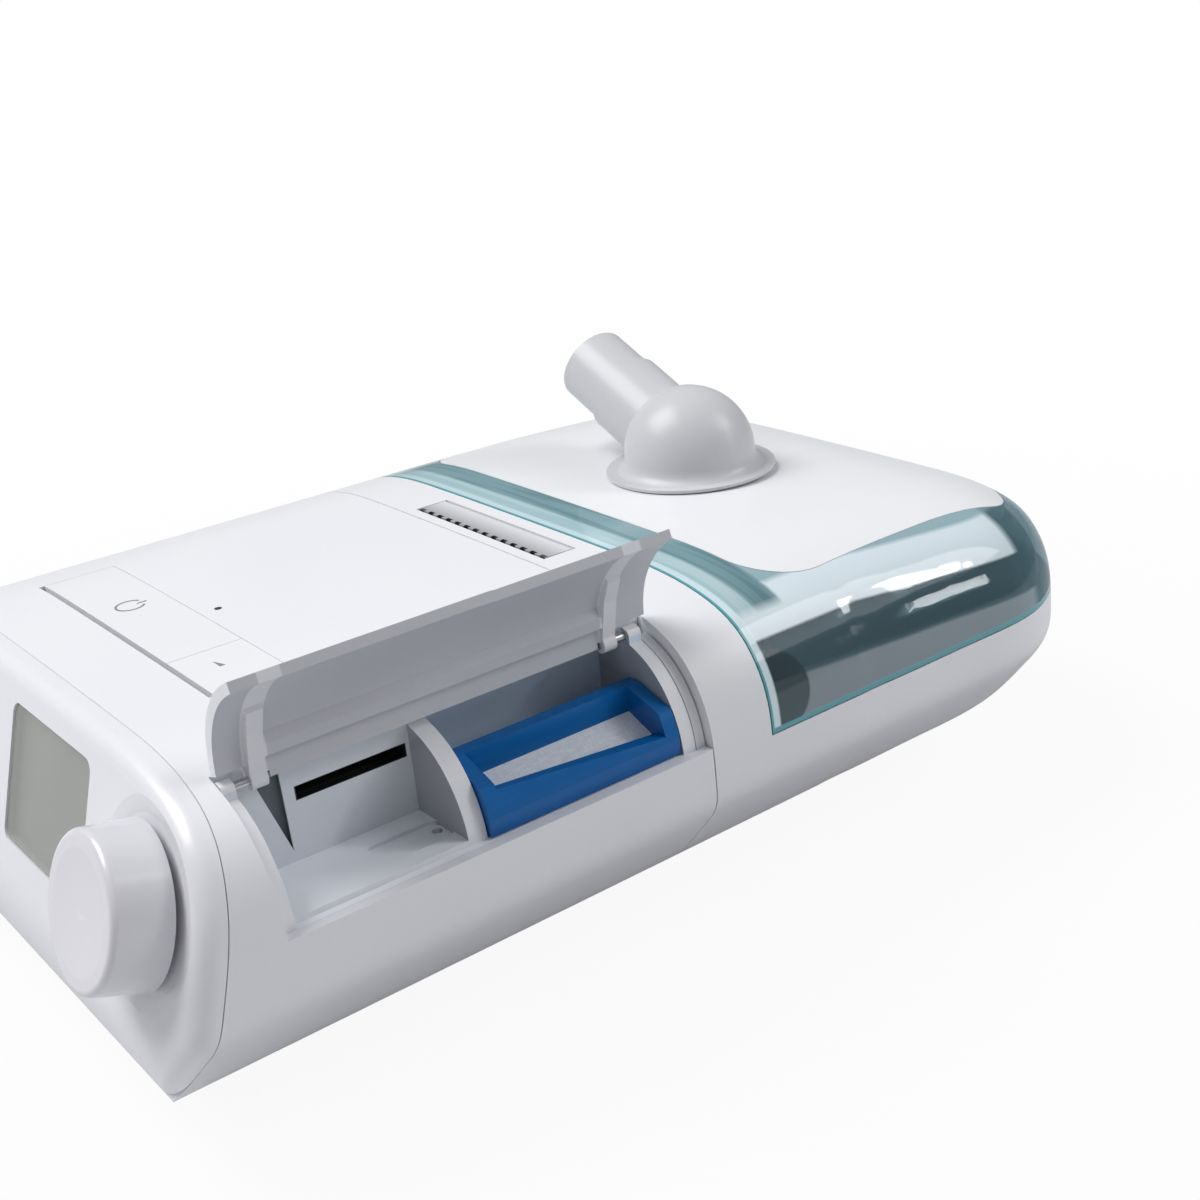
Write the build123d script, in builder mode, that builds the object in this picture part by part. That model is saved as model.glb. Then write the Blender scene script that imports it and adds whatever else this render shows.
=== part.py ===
from build123d import *

import os
from math import atan2, cos, degrees, radians, sin, sqrt

# A bilevel positive airway pressure machine with its heated humidifier docked behind it.
# Millimetres. +Z is up, the display and the dial face -Y, the filter door is on the +X side.
# The origin is the centre of the footprint, on the surface that the feet stand on.

# Driving dimensions: overall
half_width = 96.5
height = 84.0
case_floor = 1.6
widest_z = height - 40.0
front_reach_y = -148.9
rear_y = 145.3
dock_seam_y = -8.0
dock_gap = 0.4
wall = 2.5
fit = 0.3

# Cross-section, as shares of the half width and of the heights above and below the widest line
shoulder = [(0.43, 0.996), (0.75, 0.932), (0.90, 0.774), (0.975, 0.518)]
tuck = [(0.953, 0.225), (0.824, 0.542), (0.648, 0.817)]
base_share = 0.427

# Front: it leans back by this much per millimetre of height
lean = 0.303
panel_depth = 6.0
chin_radius = 29.5
panel_edge_radius = 4.5

# Tail of the humidifier
roof_start_y = 40.0
roof_drop = 7.0
tail_start_y = 94.0
tail_narrowing = 62.0
tail_roof_fall = 18.0
tail_floor_rise = 14.0
tail_end_angle = 78.0

# Display
lcd_left, lcd_right = -5.0, 40.0
lcd_low, lcd_high = height - 37.0, height - 6.0
lens_thickness = 1.6
lens_inset = 0.5
lcd_corner_radius = 3.0

# Dial
dial_x, dial_z = half_width - 25.5, height - 24.0
dial_radius = 17.0
dial_face_radius = 16.0
dial_proud = 13.0
dial_recess_depth = 0.6
dial_shaft_radius = 3.0
dial_press = 0.8
dial_dish = 0.6
dial_dish_radius = 130.0
running = 0.05

# Keys on top
key_front_y, key_back_y = -98.2, -80.0
therapy_key_left, key_divider_x, ramp_key_right = -58.0, 17.5, 42.0
key_thickness = 2.2
key_gap = 0.2
key_pivot_y, key_pivot_z = -81.0, height - 2.1
key_bead_radius = 0.9
key_front_gap = 1.4
stem_radius = 2.5
stem_end_z = height - 8.4
board_thickness = 1.6

# Door recess
recess_front_y, recess_rear_y = -114.2, -8.0
recess_edge_x = half_width - 24.3
recess_low_z = height - 29.2
recess_back_x = half_width - 24.5
shelf_z = height - 28.0
pivot_x, pivot_z = half_width - 21.6, height - 5.2
pivot_radius = 1.0
hinge_boss_radius = 2.0
hinge_groove_radius = 2.9
door_thickness = 2.2
door_open_angle = 110.0
door_top_x = half_width - 22.3
door_step_y = -56.0
door_step = 2.5
left_arm_y, right_arm_y = -107.5, -21.0
arm_thickness = 3.5
insert_inset = 2.55
low_insert_inset = 4.4

# Card slot and filter bay
slot_centre_y, slot_z = -84.2, height - 13.2
slot_length, slot_height = 25.6, 2.9
divider_front_y, divider_rear_y = -70.2, -65.8
bay_rear_y, bay_wall_y = -14.2, -10.7
bay_back_x = half_width - 34.5
bay_floor_z = height - 29.2
bay_roof_z = height - 5.4

# Filter
filter_bottom_z = bay_floor_z + 0.4
filter_front_x, filter_rear_x = half_width - 3.5, half_width - 20.5
filter_bar = 3.6
filter_bar_front_z, filter_bar_rear_z = height - 19.5, height - 23.5
filter_high_z = height - 15.0
media_thickness = 2.4

# Blower
blower_x, blower_y = -10.0, -62.0
blower_radius = 38.0
blower_low_z, blower_high_z = 8.0, 38.0
blower_wall = 2.5
impeller_radius = 30.0
blade_count = 11
shaft_radius = 1.5
inlet_radius = 13.0
motor_radius = 14.0
port_x, port_z = -38.0, 23.0
port_radius = 8.0

# Humidifier
collar_rear_y = 9.8
lid_seam_z = height - 32.5
lid_gap = 0.4
canopy_thickness = 2.2
cover_thickness = 3.0
cover_front_y = 26.0
cover_half_width = half_width - 20.0
cover_corner_radius = 16.0
cover_side_start_y, cover_side_sweep = 86.0, 200.0
cover_side_end_y, cover_side_bend = 117.0, 17.0
cover_tail_y, cover_tail_half_width, cover_tail_bend = 136.0, half_width - 50.5, 8.0
tank_front_y = 22.5
tank_inset = 6.0
tank_wall = 1.8
tank_split_z = height - 27.0
tank_top_z = height - 13.0
heater_z = 8.0
heater_thickness = 2.0
boot_x, boot_z = half_width - 20.0, height - 24.0
boot_radius = 10.0
hinge_y, hinge_z = 146.4, lid_seam_z + 0.2
hinge_barrel_radius = 2.2
hinge_pin_radius = 1.2

# Elbow
elbow_x, elbow_y = 3.0, 66.3
flange_rim_radius, flange_rim_height = 24.0, 0.8
flare_radius = 21.0
elbow_radius = 18.5
elbow_centre_rise = 4.9
elbow_shoulder = 13.2
outlet_radius = 11.0
outlet_root_radius = 12.0
outlet_bore = 9.0
outlet_tilt = 24.0
outlet_reach = 46.0
spigot_radius = 14.0

# Latch
latch_half_width = 30.0
latch_notch, latch_notch_pitch, latch_notches = 2.2, 4.4, 12
latch_front_y, latch_rear_y = -3.6, 4.6
latch_low_z = height - 4.8
latch_pivot_y, latch_pivot_z = 2.2, height - 3.0
latch_pin_x, latch_pin_radius = 26.0, 1.0

standing = (Align.CENTER, Align.CENTER, Align.MIN)
slant = sqrt(1 + lean ** 2)


def face_y(z):
    """Y of the leaning front face at a height."""
    return front_reach_y + lean * (z - case_floor)


def front_plane(depth=0.0, x=0.0, z=0.0):
    """Plane on the leaning front, this far behind its face; local y runs up the face."""
    origin = (x, face_y(z) + depth / slant, z - depth * lean / slant)
    return Plane(origin=origin, x_dir=(1, 0, 0), z_dir=(0, -1 / slant, lean / slant))


def across(y):
    """Vertical plane at a station along the machine, facing the rear."""
    return Plane(origin=(0, y, 0), x_dir=(-1, 0, 0), z_dir=(0, 1, 0))


def section(inset=0.0, wide=half_width, top=height, low=case_floor):
    """Cross-section of the case: a crowned top, full shoulders and a tucked-in underside."""
    w = wide - inset
    up = top - inset - widest_z
    down = widest_z - low - inset
    crown = [(0, 1)] + shoulder + [(1, 0)]
    under = [(1, 0)] + tuck + [(base_share, 1)]
    with BuildSketch() as profile:
        with BuildLine():
            Spline([(w * x, widest_z + up * z) for x, z in crown], tangents=[(1, 0), (0, -1)])
            Spline([(w * x, widest_z - down * z) for x, z in under], tangents=[(0, -1), (-1, 0)])
            mirror(about=Plane.YZ)
            Line((-base_share * w, widest_z - down), (base_share * w, widest_z - down))
        make_face()
    return profile.sketch


def side_outline(inset, rear):
    """The machine seen from the side: the leaning face, and the chin that rolls under it."""
    low = case_floor + inset
    high = height + 10
    lift = inset * slant
    with BuildSketch() as outline:
        with BuildLine():
            Polyline(
                (face_y(high) + lift, high),
                (face_y(low) + lift, low),
                (rear, low),
                (rear, high),
                close=True,
            )
        make_face()
        fillet(outline.vertices().sort_by(Axis.X)[0], radius=chin_radius - inset)
    return outline.sketch


def therapy_form(inset=0.0, rear=dock_seam_y):
    """Outer form of the therapy unit, or the same form that much further in."""
    start = front_reach_y - 10
    with BuildPart() as form:
        with BuildSketch(across(start)):
            add(section(inset))
        extrude(amount=rear - start)
        with BuildSketch(Plane.YZ.offset(-half_width - 10)):
            add(side_outline(inset, rear))
        extrude(amount=2 * half_width + 20, mode=Mode.INTERSECT)
    return form.part


def roof_z(y):
    """Height of the roof over the humidifier, which falls towards the rear."""
    return height - roof_drop * (max(0.0, y - roof_start_y) / (rear_y - roof_start_y)) ** 2


def humidifier_form(inset=0.0, front=dock_seam_y + dock_gap):
    """Outer form of the humidifier: a straight run and a tail that rounds off on every side."""
    reach = (rear_y - tail_start_y) / sin(radians(tail_end_angle)) - inset
    straight = [(roof_start_y + (tail_start_y - roof_start_y) * n / 4, 0.0) for n in range(4)]
    turns = [radians(tail_end_angle * n / 6) for n in range(7)]
    rounded = [(tail_start_y + reach * sin(t), 1 - cos(t)) for t in turns]
    with BuildPart() as form:
        with BuildSketch(across(front)):
            add(section(inset))
        extrude(amount=roof_start_y - front)
        for y, shrink in straight + rounded:
            wide = half_width - tail_narrowing * shrink
            top = roof_z(y) - tail_roof_fall * shrink
            with BuildSketch(across(y)):
                add(section(inset, wide, top, case_floor + tail_floor_rise * shrink))
        loft()
    return form.part


def block(x0, x1, y0, y1, z0, z1):
    """A box between two corners."""
    corner = (min(x0, x1), min(y0, y1), min(z0, z1))
    low = (Align.MIN, Align.MIN, Align.MIN)
    return Pos(*corner) * Box(
        abs(x1 - x0), abs(y1 - y0), abs(z1 - z0), align=low, mode=Mode.PRIVATE
    )


def rod(radius, start, end):
    """A round bar between two points."""
    line = Vector(*end) - Vector(*start)
    return Plane(origin=start, z_dir=line) * Cylinder(
        radius, line.length, align=standing, mode=Mode.PRIVATE
    )


os.makedirs("parts", exist_ok=True)
finished = []


def finish(part, name):
    """Label a finished piece and write it to its own file."""
    part.label = name
    export_step(part, f"parts/{name}.step")
    finished.append(part)


outer = therapy_form()
inner = therapy_form(wall, dock_seam_y - wall)
under_door = therapy_form(insert_inset)
low_under_door = therapy_form(low_insert_inset)
door_back = therapy_form(door_thickness)
seam = front_plane(panel_depth)
beyond = half_width + 10
hinge_axis = Axis((pivot_x, 0, pivot_z), (0, 1, 0))
groove = rod(
    hinge_groove_radius,
    (pivot_x, recess_front_y, pivot_z),
    (pivot_x, recess_rear_y + 1, pivot_z),
) & block(0, pivot_x, recess_front_y, recess_rear_y + 1, 0, height)
pin_line = (pivot_x, recess_front_y + 0.3, pivot_z), (pivot_x, bay_rear_y + 3.3, pivot_z)
window = block(recess_edge_x, beyond, recess_front_y, recess_rear_y + 1, recess_low_z, height + 1)

plug_x, plug_y, plug_z = (4.0, 34.0), (-14.0, -2.0), (8.0, 17.0)
plug_hole = block(plug_x[0] - 0.1, plug_x[1] + 0.1, *plug_y, plug_z[0] - 0.1, plug_z[1] + 0.1)

# Upper case: the wrap-round shell of the therapy unit
plate_half_width, plate_front_y, plate_rear_y = 38.0, -104.0, -18.0
plate_thickness = 1.2
hatch_half_width = 28.0
boss_radius, boss_height = 3.5, 7.0
boss_spots = [(-33, -98), (33, -98), (-33, -24), (33, -24)]
screw_radius = 1.2
board_post_spots = [(-54, -103), (38, -103), (-54, -76), (38, -76)]
board_top_z = height - 12.4
post_radius = 2.0
jack_y, jack_radius = -40.0, 4.4
jack_bore_radius, jack_pin_radius = 3.2, 1.0
jack_depth, jack_half = 12.0, 6.0
with BuildPart() as upper_case:
    add(outer)
    add(inner, mode=Mode.SUBTRACT)
    split(bisect_by=seam, keep=Keep.BOTTOM)
    key_room = block(
        therapy_key_left - key_gap,
        ramp_key_right + key_gap,
        key_front_y - key_front_gap,
        key_back_y + key_gap,
        height - 2 * wall,
        height + 1,
    )
    add(key_room, mode=Mode.SUBTRACT)
    skin_over_insert = outer - under_door
    add(skin_over_insert & window, mode=Mode.SUBTRACT)
    add(
        block(recess_edge_x, beyond, recess_front_y, bay_wall_y + 0.3, recess_low_z, height + 1),
        mode=Mode.SUBTRACT,
    )
    add(groove, mode=Mode.SUBTRACT)
    add(
        block(
            -plate_half_width - fit,
            plate_half_width + fit,
            plate_front_y - fit,
            plate_rear_y + fit,
            0,
            case_floor + plate_thickness + 0.1,
        ),
        mode=Mode.SUBTRACT,
    )
    add(
        block(-hatch_half_width, hatch_half_width, plate_front_y + 6, plate_rear_y - 6, 0, 10),
        mode=Mode.SUBTRACT,
    )
    for x, y in boss_spots:
        add(rod(boss_radius, (x, y, case_floor + wall - 0.5), (x, y, case_floor + wall + boss_height)))
        add(rod(screw_radius, (x, y, 0), (x, y, case_floor + boss_height)), mode=Mode.SUBTRACT)
    for x, y in board_post_spots:
        add(rod(post_radius, (x, y, board_top_z), (x, y, height - wall / 2)))
    add(plug_hole, mode=Mode.SUBTRACT)
    port_wall = (port_x, dock_seam_y - 2 * wall, port_z), (port_x, dock_seam_y + 1, port_z)
    add(rod(port_radius + 2.2, *port_wall), mode=Mode.SUBTRACT)
    jack_hole = (-half_width - 1, jack_y, widest_z), (-half_width + 2 * wall, jack_y, widest_z)
    add(rod(jack_radius + 0.1, *jack_hole), mode=Mode.SUBTRACT)
finish(upper_case.part, "upper_case")

# Bottom plate: the screwed hatch in the underside
foot_radius, foot_height = 6.0, case_floor
feet_spots = [(-25, -90), (25, -90), (-25, -32), (25, -32)]
with BuildPart() as bottom_plate:
    plate_y = plate_front_y, plate_rear_y
    add(block(-plate_half_width, plate_half_width, *plate_y, case_floor, case_floor + plate_thickness))
    for x, y in boss_spots:
        add(rod(screw_radius + 0.3, (x, y, 0), (x, y, 10)), mode=Mode.SUBTRACT)
        with Locations((x, y, case_floor)):
            Cone(2.6, screw_radius + 0.3, 1.1, align=standing, mode=Mode.SUBTRACT)
finish(bottom_plate.part, "bottom_plate")

# Case screws: four countersunk screws up through the plate into the case's bosses
with BuildPart() as case_screws:
    for x, y in boss_spots:
        with Locations((x, y, case_floor + 0.05)):
            Cone(2.5, screw_radius - 0.05, 1.1, align=standing)
            Cylinder(screw_radius - 0.05, boss_height - 1, align=standing)
finish(case_screws.part, "case_screws")

# Feet of the therapy unit: four rubber pads under the plate
with BuildPart() as therapy_feet:
    for x, y in feet_spots:
        with Locations((x, y, 0)):
            Cylinder(foot_radius, foot_height, align=standing)
    fillet(therapy_feet.edges().group_by(Axis.Z)[0], radius=0.6)
finish(therapy_feet.part, "therapy_feet")

# Front panel: the rounded bezel with the display window and the dished seat of the dial
dial_plane = front_plane(0, dial_x, dial_z)
lcd_x, lcd_z = (lcd_left + lcd_right) / 2, (lcd_low + lcd_high) / 2
lcd_width, lcd_rise = lcd_right - lcd_left, (lcd_high - lcd_low) * slant
boss_depth = 5.2
with BuildPart() as front_panel:
    add(outer)
    split(bisect_by=front_plane(panel_depth - 0.25), keep=Keep.TOP)
    face = front_panel.faces().filter_by(GeomType.PLANE).sort_by(Axis.Y)[0]
    fillet(face.edges().filter_by(GeomType.LINE, reverse=True), radius=panel_edge_radius)
    add(inner, mode=Mode.SUBTRACT)
    with BuildSketch(front_plane(boss_depth, dial_x, dial_z)):
        Circle(dial_radius + 3.5)
    extrude(amount=boss_depth - 1)
    with BuildSketch(front_plane(0, lcd_x, lcd_z)):
        RectangleRounded(lcd_width, lcd_rise, lcd_corner_radius)
    extrude(amount=-panel_depth, mode=Mode.SUBTRACT)
    with BuildSketch(dial_plane):
        Circle(dial_radius + 4.5)
    with BuildSketch(front_plane(dial_recess_depth, dial_x, dial_z)):
        Circle(dial_radius + 0.8)
    loft(mode=Mode.SUBTRACT)
    with BuildSketch(dial_plane):
        Circle(dial_shaft_radius + 0.4)
    extrude(amount=-panel_depth, mode=Mode.SUBTRACT)
finish(front_panel.part, "front_panel")

# Display: a tinted lens set a little into its window and the glass module behind it
with BuildPart() as lcd_lens:
    with BuildSketch(front_plane(lens_inset + lens_thickness, lcd_x, lcd_z)):
        RectangleRounded(lcd_width - fit, lcd_rise - fit, lcd_corner_radius - 0.2)
    extrude(amount=lens_thickness)
finish(lcd_lens.part, "lcd_lens")

module_border, module_depth = 3.0, 4.5
with BuildPart() as lcd_module:
    with BuildSketch(front_plane(wall + 0.1, lcd_x, lcd_z)):
        Rectangle(lcd_width + 2 * module_border, lcd_rise + module_border)
    extrude(amount=-module_depth)
finish(lcd_module.part, "lcd_module")

# Dial encoder: body fixed behind the panel's boss, with the shaft that turns and presses in it
encoder_size, encoder_depth = 14.0, 6.5
with BuildPart() as dial_encoder:
    with BuildSketch(front_plane(boss_depth + 0.1, dial_x, dial_z)):
        Rectangle(encoder_size, encoder_size)
        Circle(dial_shaft_radius + running, mode=Mode.SUBTRACT)
    extrude(amount=-encoder_depth)
finish(dial_encoder.part, "dial_encoder")

shaft_front = dial_proud - 3.0
shaft_back = boss_depth + encoder_depth - 1.5
with BuildPart() as dial_shaft:
    with BuildSketch(front_plane(shaft_back, dial_x, dial_z)):
        Circle(dial_shaft_radius)
    extrude(amount=shaft_back + shaft_front)
finish(dial_shaft.part, "dial_shaft")

# Control dial: a plain turned knob with a softened rim and a shallow dished face
skirt = dial_press + 0.3
with BuildPart() as control_dial:
    with BuildSketch(Plane.XZ) as half:
        with BuildLine():
            Polyline(
                (0, skirt + 5),
                (dial_shaft_radius + 4, skirt + 5),
                (dial_shaft_radius + 4, skirt + 1),
                (dial_radius - 2, skirt + 1),
                (dial_radius - 2, skirt),
                (dial_radius, skirt),
                (dial_face_radius, dial_proud),
                (0, dial_proud),
                close=True,
            )
        make_face()
        fillet(half.vertices().group_by(Axis.Y)[-1].sort_by(Axis.X)[-1], radius=1.5)
    revolve(axis=Axis.Z)
    with Locations((0, 0, dial_proud - dial_dish + dial_dish_radius)):
        Sphere(dial_dish_radius, mode=Mode.SUBTRACT)
    Cylinder(
        dial_shaft_radius + running,
        shaft_front + 0.2,
        align=standing,
        mode=Mode.SUBTRACT,
    )
finish(dial_plane * control_dial.part, "control_dial")

# Keys: two plates cut from the roof, each with a stem over its switch and a bead that it rocks on
key_skin = outer - therapy_form(key_thickness)
key_bead_end = 4.0


def key(left, right):
    """A key that follows the roof, with its press stem."""
    middle_x, middle_y = (left + right) / 2, (key_front_y + key_back_y) / 2
    top = height - 0.6 * key_thickness
    with BuildPart() as plate:
        add(key_skin & block(left, right, key_front_y, key_back_y, height - 8, height + 1))
        add(rod(stem_radius, (middle_x, middle_y, stem_end_z), (middle_x, middle_y, top)))
        bead = [(x, key_pivot_y, key_pivot_z) for x in (left + key_bead_end, right - key_bead_end)]
        add(rod(key_bead_radius, *bead))
    return plate.part


therapy_key = (therapy_key_left, key_divider_x - key_gap / 2)
ramp_key = (key_divider_x + key_gap / 2, ramp_key_right)
finish(key(*therapy_key), "therapy_button")
finish(key(*ramp_key), "ramp_button")

# Key board: a small circuit board with one tact switch under each stem, on the case's posts
switch_size = 6.0
switch_top_z = stem_end_z - 0.5
with BuildPart() as key_board:
    board_low = board_top_z - board_thickness
    add(block(-58, 42, -107, -72, board_low, board_top_z))
    for left, right in (therapy_key, ramp_key):
        with Locations(((left + right) / 2, (key_front_y + key_back_y) / 2, board_top_z)):
            Box(switch_size, switch_size, 2.4, align=standing)
            Cylinder(1.7, switch_top_z - board_top_z, align=standing)
finish(key_board.part, "key_board")

# Bay insert: the moulding behind the door, with the card panel, shelf, divider and filter bay
insert_front_y = recess_front_y - 3.0
back_thickness = 2.0
insert_low_z = height - 33.0
card_floor_z = height - 30.4
port_low_x, port_high_x = half_width - 28.5, half_width - 8.5
notch_depth = 0.9
wedge_depth = 1.4
with BuildPart() as bay_insert:
    add(block(recess_back_x - back_thickness, beyond, insert_front_y, divider_front_y, card_floor_z, height))
    add(block(bay_back_x, beyond, divider_front_y, bay_wall_y, insert_low_z, height))
    add(therapy_form(wall + 0.05), mode=Mode.INTERSECT)
    add((outer - under_door) & window, mode=Mode.SUBTRACT)
    lowered = block(recess_edge_x, beyond, recess_front_y + 3.2, bay_rear_y, recess_low_z, height)
    add((outer - low_under_door) & lowered, mode=Mode.SUBTRACT)
    add(
        block(recess_back_x, beyond, recess_front_y + 3.2, divider_front_y, shelf_z, height),
        mode=Mode.SUBTRACT,
    )
    add(
        block(bay_back_x + back_thickness, beyond, divider_rear_y, bay_rear_y, bay_floor_z, bay_roof_z),
        mode=Mode.SUBTRACT,
    )
    add(
        block(recess_back_x, beyond, divider_rear_y, bay_rear_y, bay_floor_z, height),
        mode=Mode.SUBTRACT,
    )
    add(
        block(port_low_x, port_high_x, divider_rear_y + 5, bay_rear_y - 5, 0, bay_floor_z + 1),
        mode=Mode.SUBTRACT,
    )
    add(groove, mode=Mode.SUBTRACT)
    for start, end in ((recess_front_y + 0.3, recess_front_y + 3.2), (bay_rear_y, bay_wall_y)):
        boss = rod(hinge_boss_radius, (pivot_x, start, pivot_z), (pivot_x, end, pivot_z))
        left, right = pivot_x - hinge_boss_radius, pivot_x + hinge_boss_radius
        post = block(left, right, start, end, pivot_z - 5.8, pivot_z)
        add((boss + post) & outer)
    add(rod(pivot_radius, *pin_line), mode=Mode.SUBTRACT)
    add(
        block(
            recess_back_x - 5,
            recess_back_x + 1,
            slot_centre_y - slot_length / 2,
            slot_centre_y + slot_length / 2,
            slot_z - slot_height / 2,
            slot_z + slot_height / 2,
        ),
        mode=Mode.SUBTRACT,
    )
    with BuildSketch(Plane.YZ.offset(recess_back_x - wedge_depth)):
        corners = ((-105.5, pivot_z - 2.3), (-100.0, pivot_z - 1.3), (-99.6, shelf_z + 2.5))
        Polygon(*corners, align=None)
    extrude(amount=6, mode=Mode.SUBTRACT)
    with BuildSketch(Plane.XY.offset(shelf_z)):
        with Locations((recess_back_x + 10.5, -79.0)):
            RectangleRounded(9.0, 18.0, 2.4)
    extrude(amount=-notch_depth, mode=Mode.SUBTRACT)
    with Locations((recess_back_x + 9.6, -71.8, shelf_z)):
        Cylinder(1.2, 2.0, align=(Align.CENTER, Align.CENTER, Align.MAX), mode=Mode.SUBTRACT)
finish(bay_insert.part, "bay_insert")

# Card reader: a shallow metal-can socket behind the slot, on the back of the card panel
reader_depth, reader_height = 22.0, 5.0
with BuildPart() as card_reader:
    reader_front_x = recess_back_x - back_thickness - 0.1
    reader_y = (slot_centre_y - slot_length / 2 - 1.2, slot_centre_y + slot_length / 2 + 1.2)
    slot_y = (slot_centre_y - slot_length / 2, slot_centre_y + slot_length / 2)
    reader_z = slot_z - reader_height / 2, slot_z + reader_height / 2
    slot_span_z = slot_z - slot_height / 2, slot_z + slot_height / 2
    reader_back_x = reader_front_x - reader_depth
    add(block(reader_back_x, reader_front_x, *reader_y, *reader_z))
    add(block(reader_back_x + 3, reader_front_x + 1, *slot_y, *slot_span_z), mode=Mode.SUBTRACT)
finish(card_reader.part, "card_reader")

# Door: a strip of the case's own skin with two hinge arms and a stiffening rib inside
door_front_y, door_rear_y = recess_front_y + fit, recess_rear_y - fit
door_low_z = recess_low_z + 0.3
rib_height = 1.2
rib_bands = [(height - 9.8, height - 8.6)]
rib_front_y, rib_rear_y = left_arm_y + arm_thickness, right_arm_y
arm_offsets = [(-0.5, -1.8), (1.1, 1.2), (15.1, -2.8), (20.1, -10.8), (13.5, -10.8), (9.1, -6.8), (1.3, -1.9)]
arm_profile = [(pivot_x + x, pivot_z + z) for x, z in arm_offsets]
with BuildPart() as side_door:
    add(outer - door_back)
    add(block(door_top_x, beyond, door_front_y, door_rear_y, door_low_z, height + 1), mode=Mode.INTERSECT)
    add(
        block(door_top_x, beyond, door_step_y, door_rear_y, door_low_z - 1, door_low_z + door_step),
        mode=Mode.SUBTRACT,
    )
    rib_skin = door_back - therapy_form(door_thickness + rib_height)
    for low, high in rib_bands:
        add(rib_skin & block(door_top_x + 2, beyond, rib_front_y, rib_rear_y, low, high))
    for y in (left_arm_y, right_arm_y):
        with BuildSketch(Plane.XZ.offset(-y - arm_thickness)) as arm:
            Polygon(*arm_profile, align=None)
        arm_solid = extrude(arm.sketch, amount=arm_thickness, mode=Mode.PRIVATE)
        eye = rod(hinge_boss_radius, (pivot_x, y, pivot_z), (pivot_x, y + arm_thickness, pivot_z))
        add(arm_solid & door_back)
        add(eye & outer)
    corner_front = block(0, pivot_x + 3.2, door_front_y - 1, left_arm_y, 0, beyond)
    corner_rear = block(0, pivot_x + 3.2, right_arm_y + arm_thickness, door_rear_y + 1, 0, beyond)
    add(corner_front, mode=Mode.SUBTRACT)
    add(corner_rear, mode=Mode.SUBTRACT)
    for y in (left_arm_y, right_arm_y):
        eye_bore = (pivot_x, y - 1, pivot_z), (pivot_x, y + arm_thickness + 1, pivot_z)
        add(rod(pivot_radius + running, *eye_bore), mode=Mode.SUBTRACT)
finish(side_door.part.rotate(hinge_axis, -door_open_angle), "side_door")

# Door hinge pins: one in each end wall of the bay insert
pin_spans = [
    (recess_front_y + 0.3, left_arm_y + arm_thickness + 0.5),
    (right_arm_y - 0.5, bay_rear_y + 3.3),
]
with BuildPart() as door_hinge_pins:
    for start, end in pin_spans:
        add(rod(pivot_radius, (pivot_x, start, pivot_z), (pivot_x, end, pivot_z)))
finish(door_hinge_pins.part, "door_hinge_pins")

# Filter frame: a blue tray with a low front bar, a raised rear bar and end walls; the media lies in it
frame_front_y, frame_rear_y = divider_rear_y + fit, bay_rear_y - fit
media_slope = [
    (filter_front_x - filter_bar, filter_bottom_z + 1.2),
    (filter_rear_x + filter_bar, filter_bottom_z + 5.2),
]
with BuildPart() as filter_frame:
    with BuildSketch(Plane.XZ.offset(-frame_rear_y)):
        Polygon(
            (filter_rear_x, filter_bottom_z),
            (filter_front_x, filter_bottom_z),
            (filter_front_x, filter_bar_front_z),
            (filter_front_x - filter_bar, filter_bar_front_z + 1.5),
            (filter_rear_x + filter_bar, filter_high_z),
            (filter_rear_x, filter_high_z),
            align=None,
        )
    extrude(amount=frame_rear_y - frame_front_y)
    add(
        block(
            filter_rear_x + filter_bar,
            filter_front_x - filter_bar,
            frame_front_y + filter_bar,
            frame_rear_y - filter_bar,
            filter_bottom_z - 1,
            filter_high_z + 1,
        ),
        mode=Mode.SUBTRACT,
    )
    with BuildSketch(Plane.YZ.offset(filter_front_x - filter_bar - 0.5)):
        Polygon(
            (frame_front_y + filter_bar, filter_bar_front_z),
            (frame_rear_y - filter_bar, filter_bar_rear_z),
            (frame_rear_y - filter_bar, filter_high_z + 1),
            (frame_front_y + filter_bar, filter_high_z + 1),
            align=None,
        )
    extrude(amount=filter_bar + 2, mode=Mode.SUBTRACT)
    with BuildSketch(Plane.XZ.offset(-frame_rear_y - 1)):
        Polygon(
            (filter_rear_x + filter_bar, filter_high_z),
            (filter_front_x + 1, filter_bar_front_z + 1.5),
            (filter_front_x + 1, filter_high_z + 3),
            (filter_rear_x + filter_bar, filter_high_z + 3),
            align=None,
        )
    extrude(amount=frame_rear_y - frame_front_y + 2, mode=Mode.SUBTRACT)
    add(under_door, mode=Mode.INTERSECT)
finish(filter_frame.part, "filter_frame")

# Filter media: a pale pleat-free pad, lying on the slope inside the tray
with BuildPart() as filter_media:
    (low_x, low_z), (high_x, high_z) = media_slope
    with BuildSketch(Plane.XZ.offset(-frame_rear_y + filter_bar)):
        Polygon(
            (low_x, low_z),
            (low_x, low_z + media_thickness),
            (high_x, high_z + media_thickness),
            (high_x, high_z),
            align=None,
        )
    extrude(amount=frame_rear_y - frame_front_y - 2 * filter_bar)
finish(filter_media.part, "filter_media")

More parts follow.
